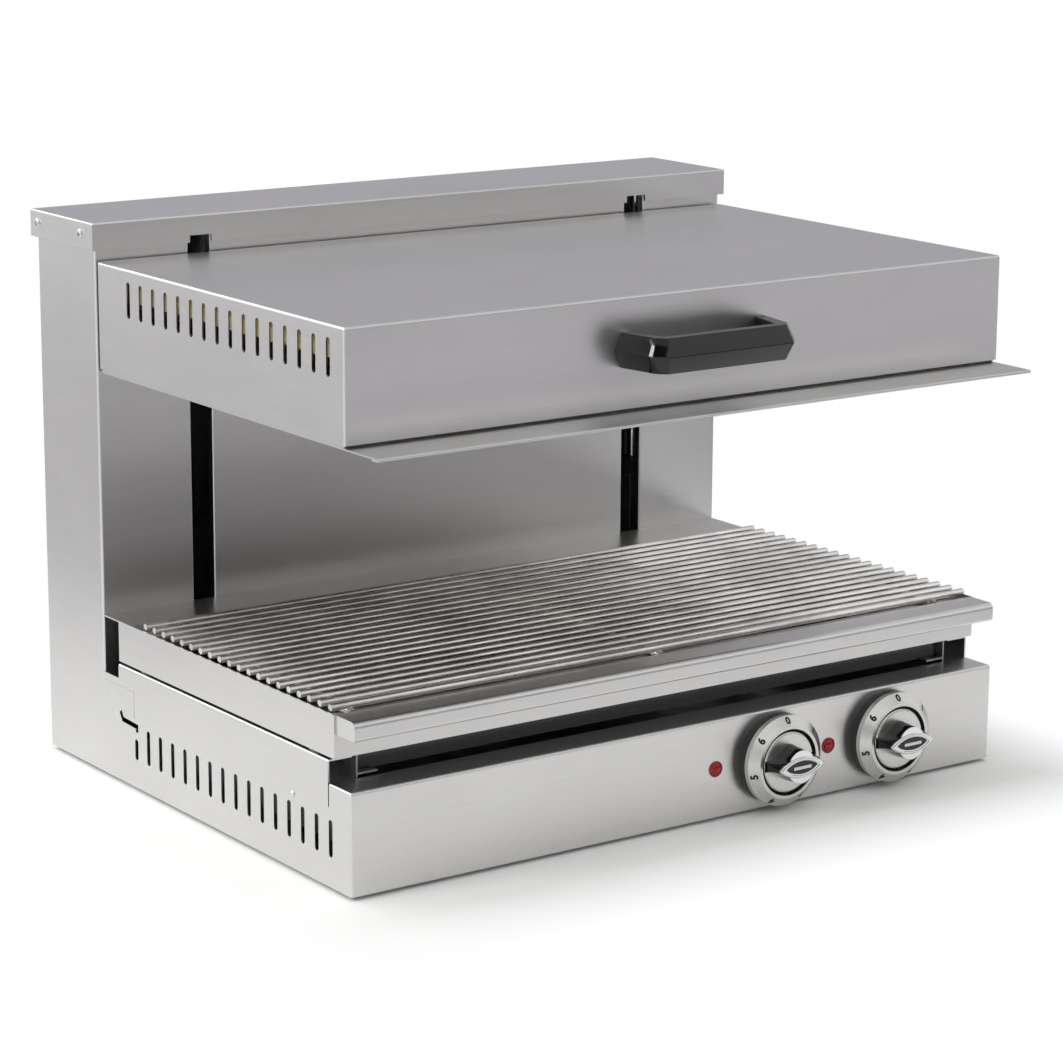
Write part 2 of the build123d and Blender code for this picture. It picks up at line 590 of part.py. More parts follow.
with BuildPart() as cable_gland:
    bar_y(GLAND_THREAD, gland_x, (back_y - GLAND_TAIL, cover_y[1] + 1), gland_z)
    with BuildSketch(Plane.XZ.offset(-cover_y[1])):
        with Locations((gland_x, gland_z)):
            RegularPolygon(GLAND_HEX, 6)
    extrude(amount=-GLAND_HEX_DEPTH)
    with BuildSketch(Plane.XZ.offset(-back_y)):
        with Locations((gland_x, gland_z)):
            RegularPolygon(GLAND_HEX, 6)
    extrude(amount=GLAND_NUT)
    bar_y(GLAND_DOME, gland_x, (cover_y[1] + GLAND_HEX_DEPTH, back_y + GLAND_REACH), gland_z)
    fillet(cable_gland.edges().group_by(Axis.Y)[-1], 0.4 * GLAND_DOME)
    bar_y(GLAND_BORE, gland_x, (back_y - GLAND_TAIL - 1, back_y + GLAND_REACH + 1), gland_z,
          Mode.SUBTRACT)
write(cable_gland, "cable_gland")

# ---------------------------------------------------------------- lift guides and pulleys
rod_x = GUIDE_ROD_X
guide_y = column_y + GUIDE_ROD_DEPTH
weight_y = back_y - SHEET - WEIGHT_REAR_GAP - WEIGHT_THICKNESS / 2
pulley_y = weight_y - PULLEY_RADIUS
pulley_z = top_z - PULLEY_DROP
bracket_z = cap_under - BRACKET_DROP
bracket_y = guide_y - BRACKET_FRONT
bush_radius = GUIDE_ROD_RADIUS + RUNNING_FIT
lug_z = [(hood_bottom + low, hood_bottom + low + LUG_HEIGHT) for low in (LUG_LOW, LUG_HIGH)]
lower_bracket_top = lug_z[0][0] - hood_travel - BUFFER_HEIGHT - BUFFER_GAP
guide_z = (lower_bracket_top, bracket_z - BRACKET_PLATE)
buffer_z = (lower_bracket_top, lower_bracket_top + BUFFER_HEIGHT)
lower_bracket_in = GUIDE_SLOT_X + slot_half + 2 * SHEET

with BuildPart() as lower_rod_bracket:
    for name, sign in SIDES:
        bracket_x = span(sign * lower_bracket_in, sign * pan_half)
        block(bracket_x, (bracket_y, guide_y + BRACKET_BACK),
              (lower_bracket_top - BRACKET_PLATE, lower_bracket_top))
        block(bracket_x, (bracket_y, bracket_y + BRACKET_PLATE),
              (lower_bracket_top - BRACKET_HEIGHT, lower_bracket_top))
write(lower_rod_bracket, "lower_rod_bracket")

with BuildPart() as upper_rod_bracket:
    block((-pan_half, pan_half), (bracket_y, back_y - 2 * SHEET),
          (bracket_z - BRACKET_PLATE, bracket_z))
    block((-pan_half, pan_half), (bracket_y, bracket_y + BRACKET_PLATE),
          (bracket_z - BRACKET_PLATE, cap_under))
write(upper_rod_bracket, "upper_rod_bracket")

for name, sign in SIDES:
    with BuildPart() as guide_rod:
        bar_z(GUIDE_ROD_RADIUS, sign * rod_x, guide_y, guide_z)
        chamfer(guide_rod.edges(), 0.5)
    write(guide_rod, f"{name}_guide_rod")

with BuildPart() as rod_buffers:
    for name, sign in SIDES:
        bar_z(BUFFER_RADIUS, sign * rod_x, guide_y, buffer_z)
        bar_z(bush_radius, sign * rod_x, guide_y, buffer_z, Mode.SUBTRACT)
write(rod_buffers, "rod_buffers")

cheek_x = PULLEY_WIDTH / 2 + CHEEK_GAP
axle_end = cheek_x + CHEEK_PLATE + SHEET
rim_radius = PULLEY_RADIUS + PULLEY_FLANGE
rim_x = PULLEY_WIDTH / 2
bore = AXLE_RADIUS + RUNNING_FIT
groove = CABLE_RADIUS + SEAT
mouth = groove + GROOVE_FLARE
groove_floor = PULLEY_RADIUS - groove
for name, sign in SIDES:
    pulley_x = sign * PULLEY_X
    with BuildPart() as pulley_bracket:
        for cheek in (-1, 1):
            block(span(pulley_x + cheek * cheek_x, pulley_x + cheek * (cheek_x + CHEEK_PLATE)),
                  (pulley_y - CHEEK_HALF, pulley_y + CHEEK_HALF),
                  (pulley_z - CHEEK_HALF, bracket_z - BRACKET_PLATE))
        bar_x(AXLE_RADIUS, (pulley_x - axle_end, pulley_x + axle_end), pulley_y, pulley_z)
    write(pulley_bracket, f"{name}_pulley_bracket")

    with BuildPart() as pulley:
        with BuildSketch(Plane.XZ.offset(-pulley_y)):
            with BuildLine():
                profile = [(-rim_x, bore), (-rim_x, rim_radius), (-mouth, rim_radius),
                           (-groove, groove_floor), (groove, groove_floor),
                           (mouth, rim_radius), (rim_x, rim_radius), (rim_x, bore)]
                Polyline([(pulley_x + x, pulley_z + r) for x, r in profile], close=True)
            make_face()
        revolve(axis=Axis((0, pulley_y, pulley_z), (1, 0, 0)))
        for hole in range(PULLEY_HOLES):
            turn = hole * 360 / PULLEY_HOLES
            with Locations(Location((pulley_x, pulley_y, pulley_z), (turn, 0, 0))):
                with Locations(Location((0, 0, PULLEY_HOLE_CIRCLE), (0, 90, 0))):
                    Cylinder(PULLEY_HOLE_RADIUS, PULLEY_WIDTH + 2, mode=Mode.SUBTRACT)
    write(pulley, f"{name}_pulley")

with BuildPart() as cable_wraps:
    for name, sign in SIDES:
        with BuildSketch(Plane.XY.offset(pulley_z)):
            with Locations((sign * PULLEY_X, pulley_y - PULLEY_RADIUS)):
                Circle(CABLE_RADIUS)
        revolve(axis=Axis((0, pulley_y, pulley_z), (-1, 0, 0)), revolution_arc=180)
write(cable_wraps, "cable_wraps")

# ---------------------------------------------------------------- lift arms, cross bar and weight
arm_x = GUIDE_SLOT_X
arm_z = (lug_z[0][0], lug_z[1][1])
back_plate_y = (hood_back - SHEET, hood_back)
hood_cable_y = pulley_y - PULLEY_RADIUS
crossbar_y = (hood_cable_y - CROSSBAR_DEPTH / 2, hood_cable_y + CROSSBAR_DEPTH / 2)
crossbar_z = (lug_z[0][1] - ARM_PLATE, lug_z[0][1] - ARM_PLATE + CROSSBAR_HEIGHT)
arm_back = crossbar_y[1] + ARM_TAIL
arm_in = arm_x - ARM_PLATE / 2
arm_out = arm_x + ARM_PLATE / 2

for name, sign in SIDES:
    with BuildPart() as lift_arm:
        block(span(sign * arm_in, sign * arm_out), (back_plate_y[0] - ARM_PLATE, arm_back), arm_z)
        block(span(sign * (arm_in - ARM_FLANGE), sign * arm_in),
              (back_plate_y[0] - ARM_PLATE, back_plate_y[0]), arm_z)
        for low, high in lug_z:
            block(span(sign * arm_out, sign * (rod_x + LUG_HALF)),
                  (guide_y - LUG_HALF, guide_y + LUG_HALF), (low, high))
            bar_z(bush_radius + BUSH_WALL, sign * rod_x, guide_y, (low - 1, high + 1),
                  Mode.SUBTRACT)
    write(lift_arm, f"{name}_lift_arm")

with BuildPart() as guide_bushes:
    for name, sign in SIDES:
        for low, high in lug_z:
            bar_z(bush_radius + BUSH_WALL, sign * rod_x, guide_y, (low, high))
            bar_z(bush_radius, sign * rod_x, guide_y, (low, high), Mode.SUBTRACT)
write(guide_bushes, "guide_bushes")

with BuildPart() as lift_crossbar:
    block((-arm_in, arm_in), crossbar_y, crossbar_z)
write(lift_crossbar, "lift_crossbar")

with BuildPart() as hood_cables:
    for name, sign in SIDES:
        bar_z(CABLE_RADIUS, sign * PULLEY_X, hood_cable_y, (crossbar_z[1], pulley_z))
write(hood_cables, "hood_cables")

weight_z = (base_z + WEIGHT_BOTTOM, base_z + WEIGHT_BOTTOM + WEIGHT_HEIGHT)
with BuildPart() as counterweight:
    block((-WEIGHT_LENGTH / 2, WEIGHT_LENGTH / 2),
          (weight_y - WEIGHT_THICKNESS / 2, weight_y + WEIGHT_THICKNESS / 2), weight_z)
    chamfer(counterweight.edges().filter_by(Axis.Z), 3)
write(counterweight, "counterweight")

with BuildPart() as weight_cables:
    for name, sign in SIDES:
        bar_z(CABLE_RADIUS, sign * PULLEY_X, weight_y, (weight_z[1], pulley_z))
write(weight_cables, "weight_cables")

# ---------------------------------------------------------------- hood casing
hood_vents = (hood_y + HOOD_VENT_START, hood_back - HOOD_VENT_END)
hood_vent_pitch = (hood_vents[1] - hood_vents[0]) / (VENT_COUNT - 1)
hood_vent_z = hood_bottom + HOOD_VENT_BOTTOM + VENT_HEIGHT / 2
handle_z = hood_bottom + HANDLE_ABOVE_EDGE
handle_foot = HANDLE_LENGTH / 2
leg_x = handle_foot - HANDLE_LEG / 2

with BuildPart() as hood_cover:
    block((-hood_half, hood_half), (hood_y, hood_back), (hood_bottom, hood_top))
    upright = hood_cover.edges().filter_by(Axis.Z).group_by(Axis.Y)[0]
    top_edges = hood_cover.edges().group_by(Axis.Z)[-1].sort_by(Axis.Y)[:-1]
    fillet(upright + top_edges, BEND)
    underside = hood_cover.faces().sort_by(Axis.Z)[0]
    open_back = hood_cover.faces().sort_by(Axis.Y)[-1]
    offset(amount=-SHEET, openings=[underside, open_back])
    with BuildSketch(Plane.YZ.offset(-hood_half - 1)):
        with Locations((sum(hood_vents) / 2, hood_vent_z)):
            with GridLocations(hood_vent_pitch, 1, VENT_COUNT, 1):
                SlotOverall(VENT_HEIGHT, VENT_WIDTH, rotation=90)
    extrude(amount=WIDTH, mode=Mode.SUBTRACT)
    for name, sign in SIDES:
        bar_y(HANDLE_SCREW, sign * leg_x, (hood_y - 1, hood_y + SHEET + 1), handle_z,
              Mode.SUBTRACT)
write(hood_cover, "hood_cover")

inside_half = hood_half - SHEET
with BuildPart() as hood_back_plate:
    block((-inside_half, inside_half), back_plate_y, (hood_bottom, hood_top - SHEET))
    fillet(hood_back_plate.edges().filter_by(Axis.Y).group_by(Axis.Z)[-1], BEND / 2)
    for name, sign in SIDES:
        block(span(sign * (arm_in - 1), sign * (arm_out + 1)),
              (back_plate_y[0] - 1, back_plate_y[1] + 1), (arm_z[0] - 1, arm_z[1] + 1),
              Mode.SUBTRACT)
write(hood_back_plate, "hood_back_plate")

frame_top = hood_bottom - LIP_DROP
frame_y = (hood_y - LIP_REACH, back_plate_y[0])
heat_half = half - HEATER_MARGIN
heat_y = (hood_y + HEATER_FRONT, back_plate_y[0] - HEATER_BACK)
upstand_z = (frame_top - SHEET, hood_bottom + FRAME_UPSTAND)

with BuildPart() as element_frame:
    block((-inside_half, inside_half), frame_y, (frame_top - SHEET, frame_top))
    block((-inside_half, inside_half), (frame_y[0], frame_y[0] + HEM_DEPTH),
          (frame_top - 2 * SHEET, frame_top - SHEET))
    rounded = element_frame.edges().filter_by(Axis.X).group_by(Axis.Y)[0]
    fillet(rounded, 0.75 * SHEET)
    block((-heat_half, heat_half), heat_y, (frame_top - 2 * SHEET, frame_top + 1), Mode.SUBTRACT)
    for name, sign in SIDES:
        block(span(sign * inside_half, sign * (inside_half - SHEET)),
              (hood_y + SHEET + BEND, frame_y[1]), upstand_z)
    block((-inside_half + SHEET, inside_half - SHEET),
          (hood_y + FRAME_SETBACK, hood_y + FRAME_SETBACK + SHEET), upstand_z)
write(element_frame, "element_frame")

# ---------------------------------------------------------------- heaters and insulation
reflector_z = (frame_top, frame_top + REFLECTOR_HEIGHT)
shade_half = heat_half + REFLECTOR_OVERLAP
shade_y = (heat_y[0] - REFLECTOR_OVERLAP, heat_y[1] + REFLECTOR_OVERLAP)
element_z = hood_bottom + ELEMENT_DROP
element_front = heat_y[0] + ELEMENT_END_GAP
element_back = heat_y[1] - ELEMENT_END_GAP
tail_y = shade_y[1] + ELEMENT_TAIL
element_pitch = (heat_half - ELEMENT_EDGE_GAP - ELEMENT_CENTRE_GAP) / (ELEMENT_RUNS - 1)
run_x = [ELEMENT_CENTRE_GAP + run * element_pitch for run in range(ELEMENT_RUNS)]
element_radius = ELEMENT_DIAMETER / 2

with BuildPart() as reflector:
    block((-shade_half, shade_half), shade_y, reflector_z)
    fillet(reflector.edges().group_by(Axis.Z)[-1], REFLECTOR_BEND)
    offset(amount=-THIN_SHEET, openings=reflector.faces().sort_by(Axis.Z)[0])
    for name, sign in SIDES:
        for tail_x in (run_x[0], run_x[-1]):
            bar_y(element_radius, sign * tail_x, (shade_y[1] - 2 * THIN_SHEET, shade_y[1] + 1),
                  element_z, Mode.SUBTRACT)
write(reflector, "reflector")

for name, sign in SIDES:
    turns = [(sign * run_x[0], tail_y)]
    for run in range(ELEMENT_RUNS - 1):
        turn_y = element_front if run % 2 == 0 else element_back
        turns += [(sign * run_x[run], turn_y), (sign * run_x[run + 1], turn_y)]
    turns += [(sign * run_x[-1], tail_y)]
    with BuildPart() as heating_element:
        with BuildLine(Plane.XY.offset(element_z)) as element_path:
            FilletPolyline(*turns, radius=0.49 * element_pitch)
        with BuildSketch(Plane((sign * run_x[0], tail_y, element_z), z_dir=(0, -1, 0))):
            Circle(element_radius)
        sweep(path=element_path.line)
    write(heating_element, f"{name}_heating_element")

support_z = element_z - element_radius
with BuildPart() as element_supports:
    for support_y in (heat_y[0] + SUPPORT_INSET, heat_y[1] - SUPPORT_INSET):
        block((-shade_half + THIN_SHEET, shade_half - THIN_SHEET),
              (support_y - SUPPORT_WIDTH / 2, support_y + SUPPORT_WIDTH / 2),
              (support_z - SHEET, support_z))
write(element_supports, "element_supports")

with BuildPart() as element_terminals:
    for name, sign in SIDES:
        for tail_x in (run_x[0], run_x[-1]):
            bar_y(element_radius + TERMINAL_WALL, sign * tail_x, (shade_y[1], tail_y),
                  element_z)
            bar_y(element_radius, sign * tail_x, (shade_y[1] - 1, tail_y), element_z,
                  Mode.SUBTRACT)
write(element_terminals, "element_terminals")

blanket_half = inside_half - BLANKET_MARGIN
with BuildPart() as insulation_blanket:
    block((-blanket_half, blanket_half),
          (hood_y + SHEET + BLANKET_MARGIN, back_plate_y[0] - BLANKET_MARGIN),
          (reflector_z[1], reflector_z[1] + BLANKET_THICKNESS))
    fillet(insulation_blanket.edges().filter_by(Axis.Z), REFLECTOR_BEND)
write(insulation_blanket, "insulation_blanket")

# ---------------------------------------------------------------- handle
handle_front = HANDLE_FRONT_LENGTH / 2
crease_y = hood_y - HANDLE_REACH
bar_back = crease_y + HANDLE_BAR
grip_half = handle_front - HANDLE_LEG
handle_levels = (handle_z - HANDLE_HEIGHT / 2, handle_z + HANDLE_HEIGHT / 2)

with BuildPart() as handle:
    for level in handle_levels:
        for inset, height in ((0, handle_z), (HANDLE_BEVEL, level)):
            with BuildSketch(Plane.XY.offset(height)):
                with BuildLine():
                    Polyline((inset - handle_foot, hood_y),
                             (inset - handle_front, crease_y + inset),
                             (handle_front - inset, crease_y + inset),
                             (handle_foot - inset, hood_y), close=True)
                make_face()
        loft(ruled=True)
    with BuildSketch(Plane.XY.offset(handle_levels[0] - 1)):
        with BuildLine():
            Polyline((HANDLE_LEG - handle_foot, hood_y + 1), (HANDLE_LEG - handle_foot, hood_y),
                     (-grip_half, bar_back), (grip_half, bar_back),
                     (handle_foot - HANDLE_LEG, hood_y), (handle_foot - HANDLE_LEG, hood_y + 1),
                     close=True)
        make_face()
    extrude(amount=HANDLE_HEIGHT + 2, mode=Mode.SUBTRACT)
    for name, sign in SIDES:
        bar_y(HANDLE_SCREW, sign * leg_x, (hood_y - HANDLE_SCREW_DEPTH, hood_y + 1), handle_z,
              Mode.SUBTRACT)
write(handle, "handle")

with BuildPart() as handle_screws:
    for name, sign in SIDES:
        bar_y(HANDLE_SCREW, sign * leg_x, (hood_y - HANDLE_SCREW_DEPTH + 2, hood_y + SHEET),
              handle_z)
        bar_y(1.8 * HANDLE_SCREW, sign * leg_x,
              (hood_y + SHEET, hood_y + SHEET + 1.2 * HANDLE_SCREW), handle_z)
write(handle_screws, "handle_screws")

# ---------------------------------------------------------------- controls
dial_base_y = (fascia_y - DIAL_BASE_DEPTH, fascia_y)
dial_rim_y = dial_base_y[0] - DIAL_RIM
dial_top_y = dial_base_y[0] - DIAL_RISE
disc_y = (fascia_y - KNOB_FRONT, dial_base_y[0] - KNOB_GAP)
grip_front = disc_y[0] - GRIP_DEPTH
shaft_bore = SHAFT_RADIUS + RUNNING_FIT
regulator_front = fascia_y + SHEET + REGULATOR_SETBACK
regulator_y = (regulator_front, regulator_front + REGULATOR_DEPTH)
collar = SHAFT_RADIUS + COLLAR_WALL
regulator_half_x, regulator_half_z = REGULATOR_HALF
blade_half_x, blade_half_z = BLADE_SIZE[0] / 2, BLADE_SIZE[1] / 2

for (name, sign), knob_x in zip(SIDES, KNOB_X):
    with BuildPart() as dial_base:
        bar_y(DIAL_RADIUS - 0.5, knob_x, dial_base_y, knob_z)
        bar_y(collar, knob_x, (dial_base_y[0] - 1, fascia_y + 1), knob_z, Mode.SUBTRACT)
    write(dial_base, f"{name}_dial_base")

    with BuildPart() as dial_ring:
        with BuildSketch(Plane.XY.offset(knob_z)):
            with BuildLine():
                Polyline((knob_x + DIAL_INNER_RADIUS, dial_base_y[0]),
                         (knob_x + DIAL_RADIUS, dial_base_y[0]),
                         (knob_x + DIAL_RADIUS, dial_rim_y),
                         (knob_x + DIAL_FACE_RADIUS, dial_top_y),
                         (knob_x + DIAL_INNER_RADIUS, dial_top_y), close=True)
            make_face()
        revolve(axis=Axis((knob_x, 0, knob_z), (0, 1, 0)))
    write(dial_ring, f"{name}_dial_ring")

    with BuildPart() as knob_disc:
        bar_y(KNOB_RADIUS, knob_x, disc_y, knob_z)
        fillet(knob_disc.edges().group_by(Axis.Y)[0], 2.0)
        bar_y(SHAFT_RADIUS, knob_x, (disc_y[1], regulator_y[0]), knob_z)
    write(knob_disc, f"{name}_knob_disc")

    with BuildPart() as knob_grip:
        with BuildSketch(Plane.XZ.offset(-disc_y[0])):
            with BuildLine():
                tip = GRIP_LENGTH / 2 + 1
                waist = GRIP_WIDTH / 2 + 1
                ThreePointArc((knob_x - tip, knob_z), (knob_x, knob_z + waist),
                              (knob_x + tip, knob_z))
                ThreePointArc((knob_x + tip, knob_z), (knob_x, knob_z - waist),
                              (knob_x - tip, knob_z))
            make_face()
        extrude(amount=GRIP_DEPTH, taper=3)
    write(knob_grip, f"{name}_knob_grip")

    with BuildPart() as knob_trim:
        for length, width, how in ((GRIP_LENGTH, GRIP_WIDTH, Mode.ADD),
                                   (GRIP_LENGTH - 3 * TRIM_WALL, GRIP_WIDTH - 2 * TRIM_WALL,
                                    Mode.SUBTRACT)):
            with BuildSketch(Plane.XZ.offset(-grip_front)):
                with BuildLine():
                    ThreePointArc((knob_x - length / 2, knob_z), (knob_x, knob_z + width / 2),
                                  (knob_x + length / 2, knob_z))
                    ThreePointArc((knob_x + length / 2, knob_z), (knob_x, knob_z - width / 2),
                                  (knob_x - length / 2, knob_z))
                make_face()
            extrude(amount=TRIM_DEPTH, mode=how)
        ridge = GRIP_LENGTH / 4
        block((knob_x - ridge, knob_x + ridge), (grip_front - TRIM_DEPTH / 2, grip_front),
              (knob_z - RIDGE_HALF, knob_z + RIDGE_HALF))
    write(knob_trim, f"{name}_knob_trim")

    with BuildPart() as regulator:
        block((knob_x - regulator_half_x, knob_x + regulator_half_x), regulator_y,
              (knob_z - regulator_half_z, knob_z + regulator_half_z))
        bar_y(collar, knob_x, (fascia_y + SHEET, regulator_y[0]), knob_z)
        for column in (-1, 0, 1):
            for row in (-0.5, 0.5):
                blade_x = knob_x + column * BLADE_SPACING[0]
                blade_z = knob_z + row * BLADE_SPACING[1]
                block((blade_x - blade_half_x, blade_x + blade_half_x),
                      (regulator_y[1], regulator_y[1] + BLADE_LENGTH),
                      (blade_z - blade_half_z, blade_z + blade_half_z))
        bar_y(shaft_bore, knob_x, (fascia_y, regulator_y[0] + SEAT), knob_z, Mode.SUBTRACT)
    write(regulator, f"{name}_regulator")

with BuildPart() as pilot_lamp_lenses:
    for knob_x in KNOB_X:
        bar_y(LAMP_RADIUS, knob_x - LAMP_OFFSET, (fascia_y - LAMP_RISE, fascia_y), knob_z)
    fillet(pilot_lamp_lenses.edges().group_by(Axis.Y)[0], 0.8 * LAMP_RISE)
write(pilot_lamp_lenses, "pilot_lamp_lenses")

with BuildPart() as pilot_lamp_bodies:
    for knob_x in KNOB_X:
        bar_y(LAMP_STEM, knob_x - LAMP_OFFSET, (fascia_y, fascia_y + LAMP_LENGTH), knob_z)
        bar_y(LAMP_STEM + LAMP_NUT[0], knob_x - LAMP_OFFSET,
              (fascia_y + SHEET, fascia_y + SHEET + LAMP_NUT[1]), knob_z)
write(pilot_lamp_bodies, "pilot_lamp_bodies")

block_x = (gland_x + BLOCK_OFFSET[0], gland_x + BLOCK_OFFSET[0] + BLOCK_SIZE[0])
block_y = (back_y - BLOCK_OFFSET[1] - BLOCK_SIZE[1], back_y - BLOCK_OFFSET[1])
block_z = (base_z + SHEET, base_z + SHEET + BLOCK_SIZE[2])
first_pole = (block_x[0] + block_x[1] - (POLE_COUNT - 1) * POLE_PITCH) / 2
with BuildPart() as terminal_block:
    block(block_x, block_y, block_z)
    for pole in range(POLE_COUNT):
        for pole_y in (block_y[0] + POLE_MARGIN, block_y[1] - POLE_MARGIN):
            bar_z(POLE_RADIUS, first_pole + pole * POLE_PITCH, pole_y,
                  (block_z[1] - POLE_DEPTH, block_z[1] + 1), Mode.SUBTRACT)
write(terminal_block, "terminal_block")
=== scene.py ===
import math

import bmesh
import bpy
from mathutils import Matrix, Vector, noise


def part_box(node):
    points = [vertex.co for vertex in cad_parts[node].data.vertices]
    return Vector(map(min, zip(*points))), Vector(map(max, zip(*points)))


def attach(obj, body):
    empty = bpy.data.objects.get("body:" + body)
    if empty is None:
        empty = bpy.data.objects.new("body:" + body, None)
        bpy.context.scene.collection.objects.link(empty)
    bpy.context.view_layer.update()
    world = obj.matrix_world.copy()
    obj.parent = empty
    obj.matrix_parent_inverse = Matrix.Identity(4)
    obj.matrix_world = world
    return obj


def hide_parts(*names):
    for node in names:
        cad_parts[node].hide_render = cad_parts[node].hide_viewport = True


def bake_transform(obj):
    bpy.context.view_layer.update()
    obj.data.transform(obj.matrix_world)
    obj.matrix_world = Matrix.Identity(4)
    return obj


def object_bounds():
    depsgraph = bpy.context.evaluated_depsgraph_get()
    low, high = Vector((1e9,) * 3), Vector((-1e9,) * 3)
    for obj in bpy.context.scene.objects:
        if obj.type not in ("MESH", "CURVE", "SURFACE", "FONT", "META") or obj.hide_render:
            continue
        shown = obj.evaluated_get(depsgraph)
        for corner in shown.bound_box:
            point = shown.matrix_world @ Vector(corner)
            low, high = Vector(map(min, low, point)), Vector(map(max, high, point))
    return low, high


bl_info = {
    "name": "Lift-top cheese melter",
    "version": (1, 0, 0),
    "blender": (4, 5, 0),
    "location": "3D View > Sidebar > Melter",
    "description": "Dresses the melter's frame with its finishes and makes its fine pieces",
    "category": "Add Mesh",
}

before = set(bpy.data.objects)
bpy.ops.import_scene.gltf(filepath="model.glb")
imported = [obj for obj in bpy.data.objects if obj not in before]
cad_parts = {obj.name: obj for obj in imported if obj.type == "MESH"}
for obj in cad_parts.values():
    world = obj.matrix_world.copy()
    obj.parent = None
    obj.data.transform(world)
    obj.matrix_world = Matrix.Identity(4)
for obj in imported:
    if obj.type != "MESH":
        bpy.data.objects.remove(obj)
CAD_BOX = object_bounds()
MM = 0.001
SIDES = ("left", "right")


# ---------------------------------------------------------------- settings
def linear(code):
    """An sRGB hex colour as linear red, green and blue."""
    parts = [int(code[place:place + 2], 16) / 255 for place in (0, 2, 4)]
    return tuple(c / 12.92 if c <= 0.04045 else ((c + 0.055) / 1.055) ** 2.4 for c in parts)


def colour(name, description, code):
    """A colour property whose default is an sRGB hex value."""
    return bpy.props.FloatVectorProperty(name=name, description=description, subtype="COLOR",
                                         size=3, min=0.0, max=1.0, default=linear(code))


def length(name, description, size_mm):
    """A length property whose default is given in millimetres."""
    return bpy.props.FloatProperty(name=name, description=description, default=size_mm * MM,
                                   min=0.0, unit="LENGTH", precision=5)


def amount(name, description, default, low=0.0, high=1.0):
    """A plain factor."""
    return bpy.props.FloatProperty(name=name, description=description, default=default,
                                   min=low, max=high, subtype="FACTOR")


class MelterSteel(bpy.types.PropertyGroup):
    """Sheet, wire and cast metals."""

    sheet: colour("Sheet", "Satin stainless sheet of the casings", "D8D7D5")
    galvanised: colour("Galvanised", "Zinc-coated brackets, floor and runners", "B4B8BA")
    wire: colour("Wire", "Bright drawn wire of the grid", "E8E6E2")
    sheath: colour("Heater sheath", "Heat-dulled sheath of the heaters", "4A4440")
    weight: colour("Weight", "Painted iron of the counterweight", "2B2D30")
    bronze: colour("Bushes", "Sintered bronze of the guide bushes", "A9834E")
    roughness: amount("Roughness", "Roughness of the satin sheet", 0.31)
    grain: length("Brush pitch", "Spacing of the brushed lines", 0.6)
    stroke: length("Brush stroke", "Length of a brushed line", 45.0)


class MelterControls(bpy.types.PropertyGroup):
    """Knobs, dials, lamps and handle."""

    black: colour("Black mouldings", "Phenolic of the handle, grips and dial bases", "0C0C0D")
    dial: colour("Dial", "Turned aluminium of the dials", "D2D1CD")
    print_black: colour("Dial print", "Ink of the dial numbers", "1C1C1E")
    lamp: colour("Lamp", "Clear red lens of the pilot lamps", "9C0C10")
    digit_height: length("Digit height", "Height of the dial numbers", 5.5)
    digits: bpy.props.IntProperty(name="Digits", description="Numbers round a dial", default=7,
                                  min=1, max=12)
    boss_radius: length("Grip boss", "Radius of the round boss in the grip's front", 13.0)
    oval_length: length("Trim length", "Length of the grip's bright oval", 43.0)
    oval_width: length("Trim width", "Width of the grip's bright oval", 16.0)
    handle_bevel: length("Handle edge", "Rounding of the handle's edges", 0.5)


class MelterGrid(bpy.types.PropertyGroup):
    """The wire grid."""

    count: bpy.props.IntProperty(name="Wires", description="Long wires of the grid", default=20,
                                 min=2, max=60)
    diameter: length("Wire diameter", "Diameter of every wire", 5.5)
    lead: length("Lead", "Cross wires beyond the outer wires' middles", 3.5)
    from_left: length("From left", "Left cross wire from the wires' left ends", 16.5)
    from_right: length("From right", "Right cross wire from the wires' right ends", 31.5)
    edge: length("Sheared edge", "Rounding of the wires' cut ends", 0.5)


class MelterStage(bpy.types.PropertyGroup):
    """Camera, floor and light."""

    azimuth: bpy.props.FloatProperty(name="Azimuth", description="Camera's turn round the object",
                                     default=math.radians(-35.328), subtype="ANGLE")
    elevation: bpy.props.FloatProperty(name="Elevation", description="Camera above the horizon",
                                       default=math.radians(13.235), subtype="ANGLE")
    roll: bpy.props.FloatProperty(name="Roll", description="Camera's roll about its view",
                                  default=math.radians(0.34), subtype="ANGLE")
    distance: length("Distance", "Camera to its target", 2659.8)
    target: bpy.props.FloatVectorProperty(name="Target", description="Point the camera looks at",
                                          default=(-0.0058, -0.01675, 0.1889), size=3,
                                          subtype="TRANSLATION")
    lens: bpy.props.FloatProperty(name="Lens", description="Focal length in millimetres",
                                  default=115.14, unit="CAMERA")
    floor: colour("Floor", "Pale floor", "F8F8F7")
    black_card: colour("Black card", "Dark card that the handle's corner reflects", "050505")
    near_card: colour("Near card", "Grey on the floor close in front and at the right", "9A989F")
    front_card: colour("Front card", "Grey on the floor farther in front", "DFDDE2")
    side_card: colour("Side card", "Grey on the floor at the left rear", "C3C1C6")
    far_card: colour("Far card", "Grey upright in front, for the column's face", "74727A")
    ceiling_card: colour("Ceiling card", "Pale grey overhead, which the folds reflect", "D4D4D6")
    rear_card: colour("Rear card", "Grey behind, which the tops reflect", "B3B1B9")
    ambient: amount("Ambient", "Level of the soft light from all round", 0.74, high=3.0)
    key: amount("Key", "Radiance of the small softbox at the left", 16.0, high=60.0)
    side: amount("Side", "Radiance of the softbox at the left rear", 3.0, high=20.0)
    back: amount("Back", "Radiance of the softbox behind, for the folds", 1.8, high=20.0)
    top: amount("Top", "Radiance of the large softbox overhead", 0.5, high=20.0)


